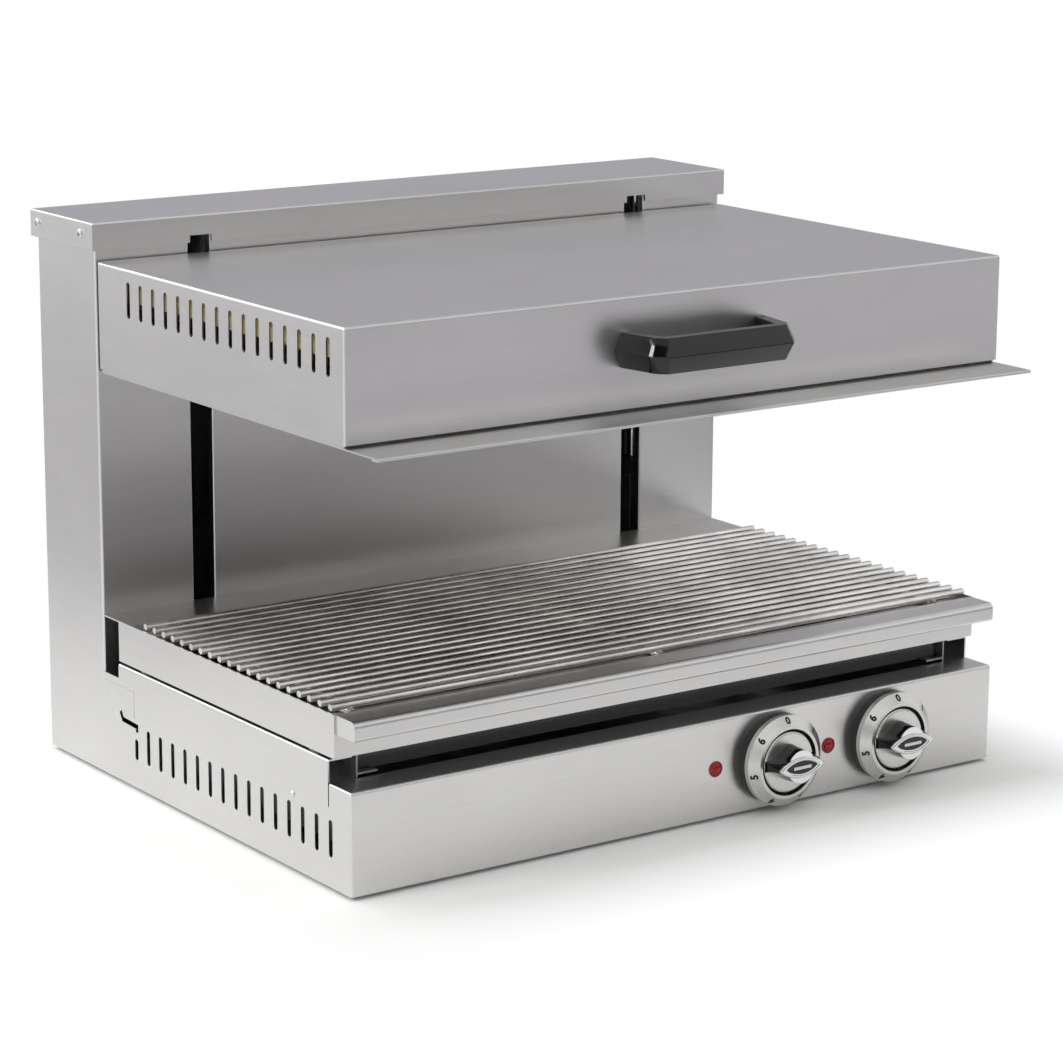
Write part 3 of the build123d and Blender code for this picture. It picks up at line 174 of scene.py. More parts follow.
class MelterSettings(bpy.types.PropertyGroup):
    """All sizes and colours that a user would change."""

    steel: bpy.props.PointerProperty(type=MelterSteel)
    controls: bpy.props.PointerProperty(type=MelterControls)
    grid: bpy.props.PointerProperty(type=MelterGrid)
    stage: bpy.props.PointerProperty(type=MelterStage)


# ---------------------------------------------------------------- node helpers
def add(tree, kind, inputs=None, **settings):
    """Adds a node, sets its properties and fills or links its inputs."""
    made = tree.nodes.new(kind)
    for key, value in settings.items():
        setattr(made, key, value)
    for key, value in (inputs or {}).items():
        if isinstance(value, bpy.types.NodeSocket):
            tree.links.new(value, made.inputs[key])
        else:
            made.inputs[key].default_value = value
    return made


def start_material(name):
    """A new material with an empty tree."""
    made = bpy.data.materials.new(name)
    made.use_nodes = True
    made.node_tree.nodes.clear()
    return made, made.node_tree


def end_material(tree, inputs):
    """The shader and the output, with constants on the shader's own sockets."""
    shader = add(tree, "ShaderNodeBsdfPrincipled", inputs)
    add(tree, "ShaderNodeOutputMaterial", {"Surface": shader.outputs[0]})


def cells(tree, size_mm, detail=2.0, roughness=0.5, kind="ShaderNodeTexNoise", settings=None):
    """A pattern on object coordinates whose cells measure size_mm on X, Y and Z."""
    coords = add(tree, "ShaderNodeTexCoord")
    scale = tuple(1 / (size * MM) for size in size_mm)
    placed = add(tree, "ShaderNodeMapping",
                 {"Vector": coords.outputs["Object"], "Scale": scale})
    inputs = {"Vector": placed.outputs[0], "Scale": 1.0}
    if kind == "ShaderNodeTexNoise":
        inputs.update({"Detail": detail, "Roughness": roughness})
    return add(tree, kind, inputs, **(settings or {}))


def shade(base, factor):
    """A colour made darker or lighter."""
    return tuple(min(1.0, c * factor) for c in base)


def end_patterned(tree, tint, rough, relief=None, shader=None):
    """Ends a material whose colour, roughness and relief each follow a pattern.

    tint is a pattern with the colours at its low and high end, and rough a pattern with the
    two roughnesses. The pattern's ends are 0 and 1, or else the two values that follow.
    relief is a pattern with a bump's strength and its depth in mm, and shader has the
    plain inputs.
    """
    factor, first, last, *ends = tint
    if ends:
        factor = add(tree, "ShaderNodeMapRange", {"Value": factor, "From Min": ends[0],
                                                  "From Max": ends[1]}).outputs["Result"]
    colours = add(tree, "ShaderNodeMix", {"Factor": factor, "A": (*first, 1.0),
                                          "B": (*last, 1.0)}, data_type="RGBA")
    pattern, low, high, *ends = rough
    from_low, from_high = ends or (0.0, 1.0)
    dulled = add(tree, "ShaderNodeMapRange",
                 {"Value": pattern, "From Min": from_low, "From Max": from_high,
                  "To Min": low, "To Max": high})
    inputs = {"Base Color": colours.outputs["Result"], "Roughness": dulled.outputs["Result"],
              **(shader or {})}
    if relief:
        height, strength, depth = relief
        raised = add(tree, "ShaderNodeBump", {"Height": height, "Strength": strength,
                                              "Distance": depth * MM})
        inputs["Normal"] = raised.outputs["Normal"]
    end_material(tree, inputs)


# ---------------------------------------------------------------- materials
def satin_sheet(settings):
    """Brushed 304 stainless sheet: fine lines along each panel's length, which spread its
    reflections across them, cloudy handling marks, and no clear mirror image."""
    made, tree = start_material("satin_brushed_stainless")
    steel = settings.steel
    pitch, stroke = steel.grain / MM, steel.stroke / MM
    coords = add(tree, "ShaderNodeTexCoord")
    facing = add(tree, "ShaderNodeSeparateXYZ", {"Vector": coords.outputs["Normal"]})
    looks = {}  # 1 on faces that look along the axis, either way, and 0 on others
    for axis in ("X", "Z"):
        along = add(tree, "ShaderNodeMath", {0: facing.outputs[axis]}, operation="ABSOLUTE")
        looks[axis] = add(tree, "ShaderNodeMapRange", {"Value": along.outputs[0],
                                                       "From Min": 0.65, "From Max": 0.75})
    # Real brushed lines are near 0.1 mm apart, too fine to show, so these are coarser.
    along_x = cells(tree, (stroke, pitch, pitch), detail=3.0, roughness=0.65)
    along_y = cells(tree, (pitch, stroke, pitch), detail=3.0, roughness=0.65)
    lines = add(tree, "ShaderNodeMix", {"Factor": looks["X"].outputs["Result"],
                                        "A": along_x.outputs["Fac"],
                                        "B": along_y.outputs["Fac"]}, data_type="FLOAT")
    lines = lines.outputs["Result"]
    clouds = cells(tree, (110.0, 110.0, 70.0), detail=4.0, roughness=0.6).outputs["Fac"]
    smears = cells(tree, (60.0, 60.0, 9.0), detail=3.0, roughness=0.6).outputs["Fac"]
    handled, grained, smeared, brushed = (
        add(tree, "ShaderNodeMapRange", {"Value": pattern, "From Min": 0.3, "From Max": 0.7,
                                         "To Min": low, "To Max": high}).outputs["Result"]
        for pattern, low, high in (
            (clouds, 0.97, 1.02), (lines, 0.96, 1.03), (smears, -0.012, 0.014),
            (lines, steel.roughness - 0.02, steel.roughness + 0.02)))
    level = add(tree, "ShaderNodeMath", {0: handled, 1: grained}, operation="MULTIPLY")
    tint = add(tree, "ShaderNodeMix", {"Factor": 1.0, "A": (*steel.sheet, 1.0),
                                       "B": level.outputs[0]},
               data_type="RGBA", blend_type="MULTIPLY")
    rough = add(tree, "ShaderNodeMath", {0: smeared, 1: brushed}, operation="ADD")
    across = add(tree, "ShaderNodeMix", {"Factor": looks["Z"].outputs["Result"],
                                         "A": (0.0, 0.0, 1.0), "B": (0.0, 1.0, 0.0)},
                 data_type="VECTOR")
    raised = add(tree, "ShaderNodeBump", {"Height": lines, "Strength": 0.06,
                                          "Distance": 0.02 * MM})
    end_material(tree, {"Base Color": tint.outputs["Result"], "Metallic": 1.0,
                        "Roughness": rough.outputs[0], "Anisotropic": 0.45,
                        "Tangent": across.outputs["Result"],
                        "Normal": raised.outputs["Normal"]})
    return made


def galvanised(settings):
    """Hot-dip zinc on steel: large dull crystals that differ a little in shade."""
    made, tree = start_material("galvanised_steel_spangle")
    base = tuple(settings.steel.galvanised)
    spangle = cells(tree, (14.0, 14.0, 14.0), kind="ShaderNodeTexVoronoi",
                    settings={"feature": "F1"})
    grey = add(tree, "ShaderNodeSeparateColor", {"Color": spangle.outputs["Color"]})
    end_patterned(tree, (grey.outputs[0], shade(base, 0.72), base),
                  (grey.outputs[1], 0.38, 0.58), shader={"Metallic": 1.0})
    return made


def drawn_wire(settings):
    """Stainless wire, drawn bright, then dulled unevenly by heat and fat."""
    made, tree = start_material("bright_drawn_wire")
    base = tuple(settings.steel.wire)
    burnt = cells(tree, (85.0, 60.0, 60.0), detail=4.0, roughness=0.65).outputs["Fac"]
    # Real drawing marks are far finer than 2 mm and wouldn't show.
    marks = cells(tree, (14.0, 2.0, 2.0), detail=3.0).outputs["Fac"]
    end_patterned(tree, (burnt, shade(base, 0.72), base, 0.38, 0.56),
                  (marks, 0.25, 0.42, 0.3, 0.7), (marks, 0.15, 0.05), {"Metallic": 1.0})
    return made


def polished(settings):
    """Polished, plated or ground steel of screws, pins, trims and guide rods."""
    made, tree = start_material("polished_plated_steel")
    base = linear("DEDEDF")
    marks = cells(tree, (3.0, 3.0, 3.0), detail=4.0).outputs["Fac"]
    end_patterned(tree, (marks, shade(base, 0.93), base), (marks, 0.06, 0.14, 0.3, 0.7),
                  shader={"Metallic": 1.0})
    return made


def turned_aluminium(settings):
    """Dials of aluminium turned on a lathe: rings of fine tool marks round each centre."""
    made, tree = start_material("satin_turned_aluminium")
    base = tuple(settings.controls.dial)
    coords = add(tree, "ShaderNodeTexCoord")
    nearest = None
    for name in SIDES:
        low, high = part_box(f"{name}_dial_ring")
        middle = (low + high) / 2
        moved = add(tree, "ShaderNodeVectorMath",
                    {0: coords.outputs["Object"], 1: (middle.x, 0.0, middle.z)},
                    operation="SUBTRACT")
        flat = add(tree, "ShaderNodeVectorMath", {0: moved.outputs[0], 1: (1.0, 0.0, 1.0)},
                   operation="MULTIPLY")
        radius = add(tree, "ShaderNodeVectorMath", {0: flat.outputs[0]}, operation="LENGTH")
        nearest = radius.outputs["Value"] if nearest is None else add(
            tree, "ShaderNodeMath", {0: nearest, 1: radius.outputs["Value"]},
            operation="MINIMUM").outputs[0]
    tool_pitch = 0.55 * MM  # coarser than a real tool's 0.15 mm or so, which wouldn't show
    rings = add(tree, "ShaderNodeMath", {0: nearest, 1: 1 / tool_pitch}, operation="MULTIPLY")
    marks = add(tree, "ShaderNodeTexNoise", {"W": rings.outputs[0], "Scale": 1.0, "Detail": 2.0},
                noise_dimensions="1D").outputs["Fac"]
    handled = cells(tree, (9.0, 9.0, 9.0), detail=3.0).outputs["Fac"]
    end_patterned(tree, (handled, shade(base, 0.93), base), (marks, 0.22, 0.36, 0.3, 0.7),
                  (marks, 0.25, 0.04), {"Metallic": 1.0})
    return made


def glossy_black(settings):
    """Compression-moulded phenolic, polished: deep black with clear reflections, a faint
    orange peel and slight dulling where it is held."""
    made, tree = start_material("polished_black_phenolic")
    base = tuple(settings.controls.black)
    peel = cells(tree, (2.2, 2.2, 2.2)).outputs["Fac"]
    dust = cells(tree, (18.0, 18.0, 18.0), detail=4.0).outputs["Fac"]
    end_patterned(tree, (dust, base, shade(base, 1.5)), (dust, 0.06, 0.11, 0.3, 0.7),
                  (peel, 0.04, 0.03), {"IOR": 1.5, "Specular IOR Level": 0.45})
    return made


def matte_black(settings):
    """Moulded black nylon or phenolic skirt: a fine even sparkle and soft sheen."""
    made, tree = start_material("moulded_black_nylon")
    base = linear("19191B")
    # Real moulding grain is near 0.2 mm, too fine to show.
    grit = cells(tree, (0.8, 0.8, 0.8)).outputs["Fac"]
    end_patterned(tree, (grit, shade(base, 0.8), shade(base, 1.3)),
                  (grit, 0.36, 0.52, 0.3, 0.7), (grit, 0.2, 0.05))
    return made


def dial_ink(settings):
    """Screen-printed epoxy ink on the dials: flat black, a little worn."""
    made, tree = start_material("screen_printed_ink")
    base = tuple(settings.controls.print_black)
    worn = cells(tree, (0.9, 0.9, 0.9), detail=3.0).outputs["Fac"]
    end_patterned(tree, (worn, base, shade(base, 2.2)), (worn, 0.7, 0.85),
                  shader={"Specular IOR Level": 0.2})
    return made


def lamp_red(settings):
    """Clear red polycarbonate over a dark lamp: deep colour, glassy skin, moulded prisms."""
    made, tree = start_material("clear_red_polycarbonate")
    base = tuple(settings.controls.lamp)
    prisms = cells(tree, (1.4, 1.4, 1.4), kind="ShaderNodeTexVoronoi",
                   settings={"feature": "F1"}).outputs["Distance"]
    depth = add(tree, "ShaderNodeMapRange", {"Value": prisms, "From Max": 0.9})
    depth = depth.outputs["Result"]
    end_patterned(tree, (depth, shade(base, 1.25), shade(base, 0.55)), (prisms, 0.06, 0.16),
                  (depth, 0.15, 0.2),
                  {"IOR": 1.5, "Subsurface Weight": 0.15, "Subsurface Scale": 2.0 * MM})
    return made


def vitreous_enamel(settings):
    """Black vitreous enamel, fired: glassy, with orange peel and pale flecks."""
    made, tree = start_material("black_vitreous_enamel")
    peel = cells(tree, (3.5, 3.5, 3.5)).outputs["Fac"]
    flecks = cells(tree, (2.5, 2.5, 2.5), kind="ShaderNodeTexVoronoi",
                   settings={"feature": "F1"}).outputs["Distance"]
    end_patterned(tree, (flecks, linear("6E6E72"), linear("111114"), 0.05, 0.12),
                  (peel, 0.1, 0.22, 0.3, 0.7), (peel, 0.15, 0.1), {"IOR": 1.5})
    return made


def heater_sheath(settings):
    """Nickel-alloy sheath of tubular heaters: oxidised brown-grey, matte, with blue bands."""
    made, tree = start_material("oxidised_alloy_sheath")
    scale = cells(tree, (1.2, 1.2, 1.2), detail=4.0).outputs["Fac"]
    bands = cells(tree, (40.0, 40.0, 40.0)).outputs["Fac"]
    end_patterned(tree, (bands, tuple(settings.steel.sheath), linear("3D434E"), 0.4, 0.6),
                  (scale, 0.42, 0.62), (scale, 0.3, 0.08), {"Metallic": 0.7})
    return made


def glazed_ceramic(settings):
    """Steatite terminal beads: off-white, thin glaze."""
    made, tree = start_material("glazed_steatite")
    body = cells(tree, (2.0, 2.0, 2.0), detail=3.0).outputs["Fac"]
    end_patterned(tree, (body, linear("D9D2C0"), linear("EFEADC")), (body, 0.18, 0.32),
                  shader={"IOR": 1.55})
    return made


def mineral_wool(settings):
    """Resin-bonded glass wool: pale straw yellow, layered fibres with no shine."""
    made, tree = start_material("bonded_glass_wool")
    # Real fibres are hundredths of a millimetre thick, so their layers are drawn instead.
    fibres = cells(tree, (9.0, 9.0, 0.9), detail=5.0, roughness=0.7).outputs["Fac"]
    tufts = cells(tree, (11.0, 11.0, 7.0), detail=4.0).outputs["Fac"]
    end_patterned(tree, (tufts, linear("A68F4E"), linear("E6D9A6")), (fibres, 0.85, 1.0),
                  (fibres, 0.8, 0.7), {"Sheen Weight": 0.3})
    return made


def white_nylon(settings):
    """Natural glass-filled nylon of terminal block, regulators and lamp bodies."""
    made, tree = start_material("natural_moulded_nylon")
    flow = cells(tree, (7.0, 7.0, 7.0), detail=3.0).outputs["Fac"]
    end_patterned(tree, (flow, linear("C9C4B4"), linear("DEDACD")), (flow, 0.42, 0.56))
    return made


def rubber(settings):
    """Moulded black rubber: dull, dusty on top of its grain."""
    made, tree = start_material("moulded_black_rubber")
    dust = cells(tree, (4.0, 4.0, 4.0), detail=4.0).outputs["Fac"]
    # Real moulding grain is near 0.2 mm, too fine to show.
    grain = cells(tree, (0.7, 0.7, 0.7)).outputs["Fac"]
    end_patterned(tree, (dust, linear("161616"), linear("2C2B2A")), (dust, 0.7, 0.88),
                  (grain, 0.25, 0.08))
    return made


def bronze(settings):
    """Sintered bronze, oil-soaked: porous brown-gold."""
    made, tree = start_material("sintered_bronze")
    base = tuple(settings.steel.bronze)
    # Real pores are under 0.1 mm, too fine to show.
    pores = cells(tree, (0.6, 0.6, 0.6), detail=3.0).outputs["Fac"]
    end_patterned(tree, (pores, shade(base, 0.6), base), (pores, 0.3, 0.5),
                  shader={"Metallic": 1.0})
    return made


def wire_rope(settings):
    """Galvanised wire rope: strands laid round it, drawn as slanting bands."""
    made, tree = start_material("laid_wire_rope")
    # The single wires, near 0.3 mm thick, are too fine to show, so the bands are strands.
    lay = cells(tree, (3.0, 3.0, 3.0), kind="ShaderNodeTexWave",
                settings={"bands_direction": "DIAGONAL", "wave_profile": "SIN"}).outputs["Fac"]
    end_patterned(tree, (lay, linear("4C4D4F"), linear("B9BBBC")), (lay, 0.5, 0.3),
                  (lay, 0.7, 0.3), {"Metallic": 1.0})
    return made


def cast_iron(settings):
    """Sand-cast iron under one coat of dark paint: pebbled and dull."""
    made, tree = start_material("painted_cast_iron")
    base = tuple(settings.steel.weight)
    sand = cells(tree, (2.4, 2.4, 2.4), detail=4.0).outputs["Fac"]
    end_patterned(tree, (sand, shade(base, 0.8), shade(base, 1.4)), (sand, 0.45, 0.7),
                  (sand, 0.6, 0.4))
    return made


def bright_reflector(settings):
    """Bright aluminised sheet over the heaters, straw-coloured where it runs hot."""
    made, tree = start_material("aluminised_reflector")
    heat = cells(tree, (90.0, 90.0, 60.0), detail=3.0).outputs["Fac"]
    # Real rolling lines are near 0.2 mm apart, too fine to show.
    roll = cells(tree, (80.0, 1.5, 1.5)).outputs["Fac"]
    end_patterned(tree, (heat, linear("C9C8C5"), linear("BBA878"), 0.4, 0.65),
                  (roll, 0.16, 0.3, 0.3, 0.7), shader={"Metallic": 1.0})
    return made


FINISHES = {
    satin_sheet: ("base_shell", "column_shell", "column_cap", "hood_cover", "grid_tray",
                  "hood_back_plate", "element_frame", "rear_cover"),
    galvanised: ("base_floor", "left_tray_runner", "right_tray_runner", "tray_spacers",
                 "lower_rod_bracket", "upper_rod_bracket", "left_pulley_bracket",
                 "right_pulley_bracket", "left_lift_arm", "right_lift_arm", "lift_crossbar",
                 "element_supports"),
    polished: ("panel_pins", "handle_screws", "left_guide_rod", "right_guide_rod"),
    turned_aluminium: ("left_dial_ring", "right_dial_ring", "left_knob_disc",
                       "right_knob_disc"),
    matte_black: ("left_dial_base", "right_dial_base", "cable_gland", "left_pulley",
                  "right_pulley"),
    bright_reflector: ("reflector",),
    vitreous_enamel: ("crumb_tray", "crumb_tray_wall"),
    heater_sheath: ("left_heating_element", "right_heating_element"),
    glazed_ceramic: ("element_terminals",),
    white_nylon: ("pilot_lamp_bodies", "terminal_block", "left_regulator", "right_regulator"),
    rubber: ("rubber_feet", "rod_buffers"),
    bronze: ("guide_bushes",),
    wire_rope: ("cable_wraps",),
    cast_iron: ("counterweight",),
}


def finish_of(maker, settings):
    """The material that a function makes, made once."""
    if maker not in finish_of.made:
        finish_of.made[maker] = maker(settings)
    return finish_of.made[maker]


finish_of.made = {}


# ---------------------------------------------------------------- mesh helpers
def new_piece(name, mesh, finish, body, replaced=(), smooth_deg=35.0, stretch=None):
    """Puts a finished mesh in the scene: its material, body and the nodes it stands for.

    With stretch, the piece keeps its place and joins no body; body and the stretch's two points
    are not used.
    """
    mesh.materials.clear()
    mesh.materials.append(finish)
    mesh.shade_smooth()
    mesh.set_sharp_from_angle(angle=math.radians(smooth_deg))
    piece = bpy.data.objects.new(name, mesh)
    bpy.context.scene.collection.objects.link(piece)
    if stretch:
        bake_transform(piece)
    else:
        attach(piece, body)
    if replaced:
        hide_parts(*replaced)
    return piece


def mesh_of(name, shape):
    """A bmesh as a mesh, with its doubles merged and its faces turned outwards."""
    bmesh.ops.remove_doubles(shape, verts=shape.verts, dist=1e-7)
    bmesh.ops.recalc_face_normals(shape, faces=shape.faces)
    mesh = bpy.data.meshes.new(name)
    shape.to_mesh(mesh)
    shape.free()
    return mesh


def finished_mesh(name, holder):
    """What an object's modifiers give, as a plain mesh. The holder is removed."""
    graph = bpy.context.evaluated_depsgraph_get()
    mesh = bpy.data.meshes.new_from_object(holder.evaluated_get(graph), depsgraph=graph)
    mesh.name = name
    old = holder.data
    bpy.data.objects.remove(holder)
    if old.users == 0:
        bpy.data.meshes.remove(old)
    return mesh


def held(mesh):
    """A mesh in an object of its own, so that modifiers can work on it."""
    holder = bpy.data.objects.new("holder", mesh)
    bpy.context.scene.collection.objects.link(holder)
    return holder


def add_bevel(holder, width, segments, angle_deg):
    """A modifier that rounds an object's sharp edges."""
    bevel = holder.modifiers.new("edge", "BEVEL")
    bevel.width = width
    bevel.segments = segments
    bevel.limit_method = "ANGLE"
    bevel.angle_limit = math.radians(angle_deg)
    bevel.harden_normals = False


def rounded(name, mesh, width, segments=3, angle_deg=25.0):
    """A mesh with its sharp edges rounded."""
    holder = held(mesh)
    add_bevel(holder, width, segments, angle_deg)
    return finished_mesh(name, holder)


def join_rings(shape, rings):
    """Quads from each ring of vertices to the next."""
    for ring, following in zip(rings, rings[1:]):
        for index in range(len(ring)):
            after = (index + 1) % len(ring)
            shape.faces.new((ring[index], ring[after], following[after], following[index]))


def loops_to_shell(shape, loops, closed=True):
    """Quads between loops of points, with the first and last loops filled if closed."""
    rings = [[shape.verts.new(point) for point in loop] for loop in loops]
    join_rings(shape, rings)
    if closed:
        shape.faces.new(rings[0])
        shape.faces.new(list(reversed(rings[-1])))
    return rings


def lathe(shape, profile, segments, place):
    """Turns a profile of (radius, height) about an axis. place maps (across, up, height)."""
    rings = []
    for radius, height in profile:
        if radius < 1e-7:
            rings.append([shape.verts.new(place(0.0, 0.0, height))])
            continue
        rings.append([shape.verts.new(place(radius * math.cos(turn), radius * math.sin(turn),
                                            height))
                      for turn in (2 * math.pi * step / segments for step in range(segments))])
    for ring, following in zip(rings, rings[1:]):
        for index in range(segments):
            after = (index + 1) % segments
            corners = [ring[index % len(ring)], ring[after % len(ring)],
                       following[after % len(following)], following[index % len(following)]]
            unique = list(dict.fromkeys(corners))
            if len(unique) > 2:
                shape.faces.new(unique)


# ---------------------------------------------------------------- geometry node trees
def start_tree(name, sizes):
    """A geometry tree with an input for each size: its name, socket type and default."""
    tree = bpy.data.node_groups.new(name, "GeometryNodeTree")
    tree.interface.new_socket("Geometry", in_out="INPUT", socket_type="NodeSocketGeometry")
    identifiers = {}
    for label, kind, default in sizes:
        socket = tree.interface.new_socket(label, in_out="INPUT", socket_type=kind)
        if default is not None:
            socket.default_value = default
        identifiers[label] = socket.identifier
    tree.interface.new_socket("Geometry", in_out="OUTPUT", socket_type="NodeSocketGeometry")
    return tree, add(tree, "NodeGroupInput"), identifiers


def end_tree(tree, geometry, entry):
    """Realize Instances and Set Material, then the tree's output."""
    real = add(tree, "GeometryNodeRealizeInstances", {"Geometry": geometry})
    dressed = add(tree, "GeometryNodeSetMaterial",
                  {"Geometry": real.outputs[0], "Material": entry.outputs["Finish"]})
    add(tree, "NodeGroupOutput", {0: dressed.outputs[0]})


def grown(name, tree, identifiers, values, start=None, edge=0.0):
    """Runs a geometry tree on a mesh and gives the result as a plain mesh."""
    holder = held(start or bpy.data.meshes.new("seed"))
    modifier = holder.modifiers.new("grow", "NODES")
    modifier.node_group = tree
    for label, value in values.items():
        modifier[identifiers[label]] = value
    if edge:
        add_bevel(holder, edge, segments=2, angle_deg=60.0)
    mesh = finished_mesh(name, holder)
    bpy.data.node_groups.remove(tree)
    return mesh


def wire_row_tree():
    """Equal wires along X, set side by side along Y."""
    tree, entry, identifiers = start_tree("wire_row", (
        ("Count", "NodeSocketInt", 20), ("Diameter", "NodeSocketFloat", 0.0055),
        ("Length", "NodeSocketFloat", 0.593), ("First", "NodeSocketVector", None),
        ("Step", "NodeSocketVector", None), ("Turn", "NodeSocketVector", None),
        ("Finish", "NodeSocketMaterial", None)))
    inputs = entry.outputs
    row = add(tree, "GeometryNodeMeshLine", {"Count": inputs["Count"],
                                             "Start Location": inputs["First"],
                                             "Offset": inputs["Step"]})
    radius = add(tree, "ShaderNodeMath", {0: inputs["Diameter"], 1: 0.5}, operation="MULTIPLY")
    wire = add(tree, "GeometryNodeMeshCylinder",
               {"Vertices": 24, "Side Segments": 1, "Radius": radius.outputs[0],
                "Depth": inputs["Length"]})
    turned = add(tree, "FunctionNodeEulerToRotation", {"Euler": inputs["Turn"]})
    copies = add(tree, "GeometryNodeInstanceOnPoints",
                 {"Points": row.outputs[0], "Instance": wire.outputs["Mesh"],
                  "Rotation": turned.outputs[0]})
    end_tree(tree, copies.outputs[0], entry)
    return tree, identifiers


def screw_tree():
    """The same screw head on every point, facing along the point's own direction."""
    tree, entry, identifiers = start_tree("screw_heads", (
        ("Head", "NodeSocketObject", None), ("Seed", "NodeSocketInt", 7),
        ("Finish", "NodeSocketMaterial", None)))
    head = add(tree, "GeometryNodeObjectInfo", {"Object": entry.outputs["Head"]})
    facing = add(tree, "GeometryNodeInputNamedAttribute", {"Name": "facing"},
                 data_type="FLOAT_VECTOR")
    aligned = add(tree, "FunctionNodeAlignRotationToVector",
                  {"Vector": facing.outputs["Attribute"]}, axis="Z")
    spin = add(tree, "FunctionNodeRandomValue", {"Seed": entry.outputs["Seed"]},
               data_type="FLOAT")
    angle = add(tree, "ShaderNodeMath", {0: spin.outputs[1], 1: math.pi / 2},
                operation="MULTIPLY")
    about = add(tree, "ShaderNodeCombineXYZ", {"Z": angle.outputs[0]})
    turned = add(tree, "FunctionNodeEulerToRotation", {"Euler": about.outputs[0]})
    both = add(tree, "FunctionNodeRotateRotation",
               {"Rotation": aligned.outputs[0], "Rotate By": turned.outputs[0]},
               rotation_space="LOCAL")
    copies = add(tree, "GeometryNodeInstanceOnPoints",
                 {"Points": entry.outputs["Geometry"],
                  "Instance": head.outputs["Geometry"], "Rotation": both.outputs[0]})
    end_tree(tree, copies.outputs[0], entry)
    return tree, identifiers


# ---------------------------------------------------------------- pieces
class MELTER_OT_finishes(bpy.types.Operator):
    """Gives each carried-over piece the finish of its real material"""

    bl_idname = "melter.finishes"
    bl_label = "Finish the casings and inner pieces"

    def execute(self, context):
        settings = context.scene.melter
        for maker, names in FINISHES.items():
            for name in names:
                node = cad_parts[name]
                node.data.materials.clear()
                node.data.materials.append(finish_of(maker, settings))
        return {"FINISHED"}


class MELTER_OT_wire_grid(bpy.types.Operator):
    """Makes the grid's long wires and cross wires"""

    bl_idname = "melter.wire_grid"
    bl_label = "Make the wire grid"

    def execute(self, context):
        settings = context.scene.melter
        grid = settings.grid
        finish = finish_of(drawn_wire, settings)
        low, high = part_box("wire_grid")
        radius = grid.diameter / 2
        first = low.y + grid.lead
        pitch = (high.y - low.y - 2 * grid.lead) / (grid.count - 1)
        rows = [(grid.count, high.x - low.x, (0.0, first, high.z - radius), (0.0, pitch, 0.0),
                 (0.0, math.pi / 2, 0.0))]
        left = low.x + grid.from_left
        step = (high.x - grid.from_right - left) / 2
        rows.append((3, high.y - low.y, (left, (low.y + high.y) / 2, low.z + radius),
                     (step, 0.0, 0.0), (math.pi / 2, 0.0, 0.0)))
        joined = bmesh.new()
        for count, reach, start, offset, turn in rows:
            tree, identifiers = wire_row_tree()
            mesh = grown("wires", tree, identifiers,
                         {"Count": count, "Diameter": grid.diameter, "Length": reach,
                          "First": start, "Step": offset, "Turn": turn, "Finish": finish},
                         edge=grid.edge)
            joined.from_mesh(mesh)
            bpy.data.meshes.remove(mesh)
        mesh = bpy.data.meshes.new("grid_wires")
        joined.to_mesh(mesh)
        joined.free()
        new_piece("grid_wires", mesh, finish, "wire_grid", ("wire_grid",))
        return {"FINISHED"}


class MELTER_OT_handle(bpy.types.Operator):
    """Makes the moulded handle with its creased front and rounded edges"""

    bl_idname = "melter.handle"
    bl_label = "Make the handle"

    leg: length("Leg", "Thickness of a leg at its foot", 15.0)
    bar: length("Bar", "Front to back size of the bar", 14.0)
    bevel: length("Bevel", "Slope of the faces above and below the crease", 6.0)
    corners: bpy.props.FloatVectorProperty(
        name="Corners", size=6, unit="LENGTH",
        description="The corner's three turns: in from the foot, then back from the crease",
        default=(5.5 * MM, 12.75 * MM, 7.2 * MM, 9.15 * MM, 15.5 * MM, 0.0))

    def outline(self, foot, back, crease, inset):
        """The outside of one level, left foot to right foot, moved in from the crease."""
        turns = [Vector((self.corners[place] - foot, crease + self.corners[place + 1]))
                 for place in (0, 2, 4)]
        half = [Vector((-foot, back)), *turns]
        points = half + [Vector((-point.x, point.y)) for point in reversed(half)]
        sides = [(second - first).normalized() for first, second in zip(points, points[1:])]
        normals = [Vector((side.y, -side.x)) for side in sides]
        moved = []
        for index, point in enumerate(points):
            before, after = normals[max(0, index - 1)], normals[min(len(sides) - 1, index)]
            if index in (0, len(points) - 1):
                moved.append(Vector((point.x - inset / before.x, point.y)))
            else:
                moved.append(point - (before + after) * inset / (1 + before.dot(after)))
        return moved

    def execute(self, context):
        settings = context.scene.melter
        low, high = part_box("handle")
        foot, middle = high.x, (low.z + high.z) / 2
        crease, back = low.y, high.y
        inner_foot = foot - self.leg
        inner_front = inner_foot - self.corners[2]
        inner = [(inner_foot, back), (inner_front, crease + self.bar),
                 (-inner_front, crease + self.bar), (-inner_foot, back)]
        shape = bmesh.new()
        loops = []
        for z, inset in ((low.z, self.bevel), (middle, 0.0), (high.z, self.bevel)):
            points = [tuple(point) for point in self.outline(foot, back, crease, inset)] + inner
            loops.append([(x, y, z) for x, y in points])
        levels = loops_to_shell(shape, loops, closed=False)
        for level in (levels[0], levels[-1]):
            for turns in ((0, 1, 10, 11), (1, 2, 3, 10), (3, 4, 9, 10), (4, 5, 6, 9),
                          (6, 7, 8, 9)):
                shape.faces.new([level[index] for index in turns])
        mesh = rounded("moulded_handle", mesh_of("handle_block", shape),
                       settings.controls.handle_bevel, segments=3, angle_deg=9.0)
        new_piece("moulded_handle", mesh, finish_of(glossy_black, settings), "hood",
                  ("handle",), smooth_deg=30.0)
        return {"FINISHED"}


def dial_places():
    """Each dial's side, centre and front, from its ring."""
    for name in SIDES:
        low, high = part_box(f"{name}_dial_ring")
        yield name, Vector(((low.x + high.x) / 2, low.y, (low.z + high.z) / 2))


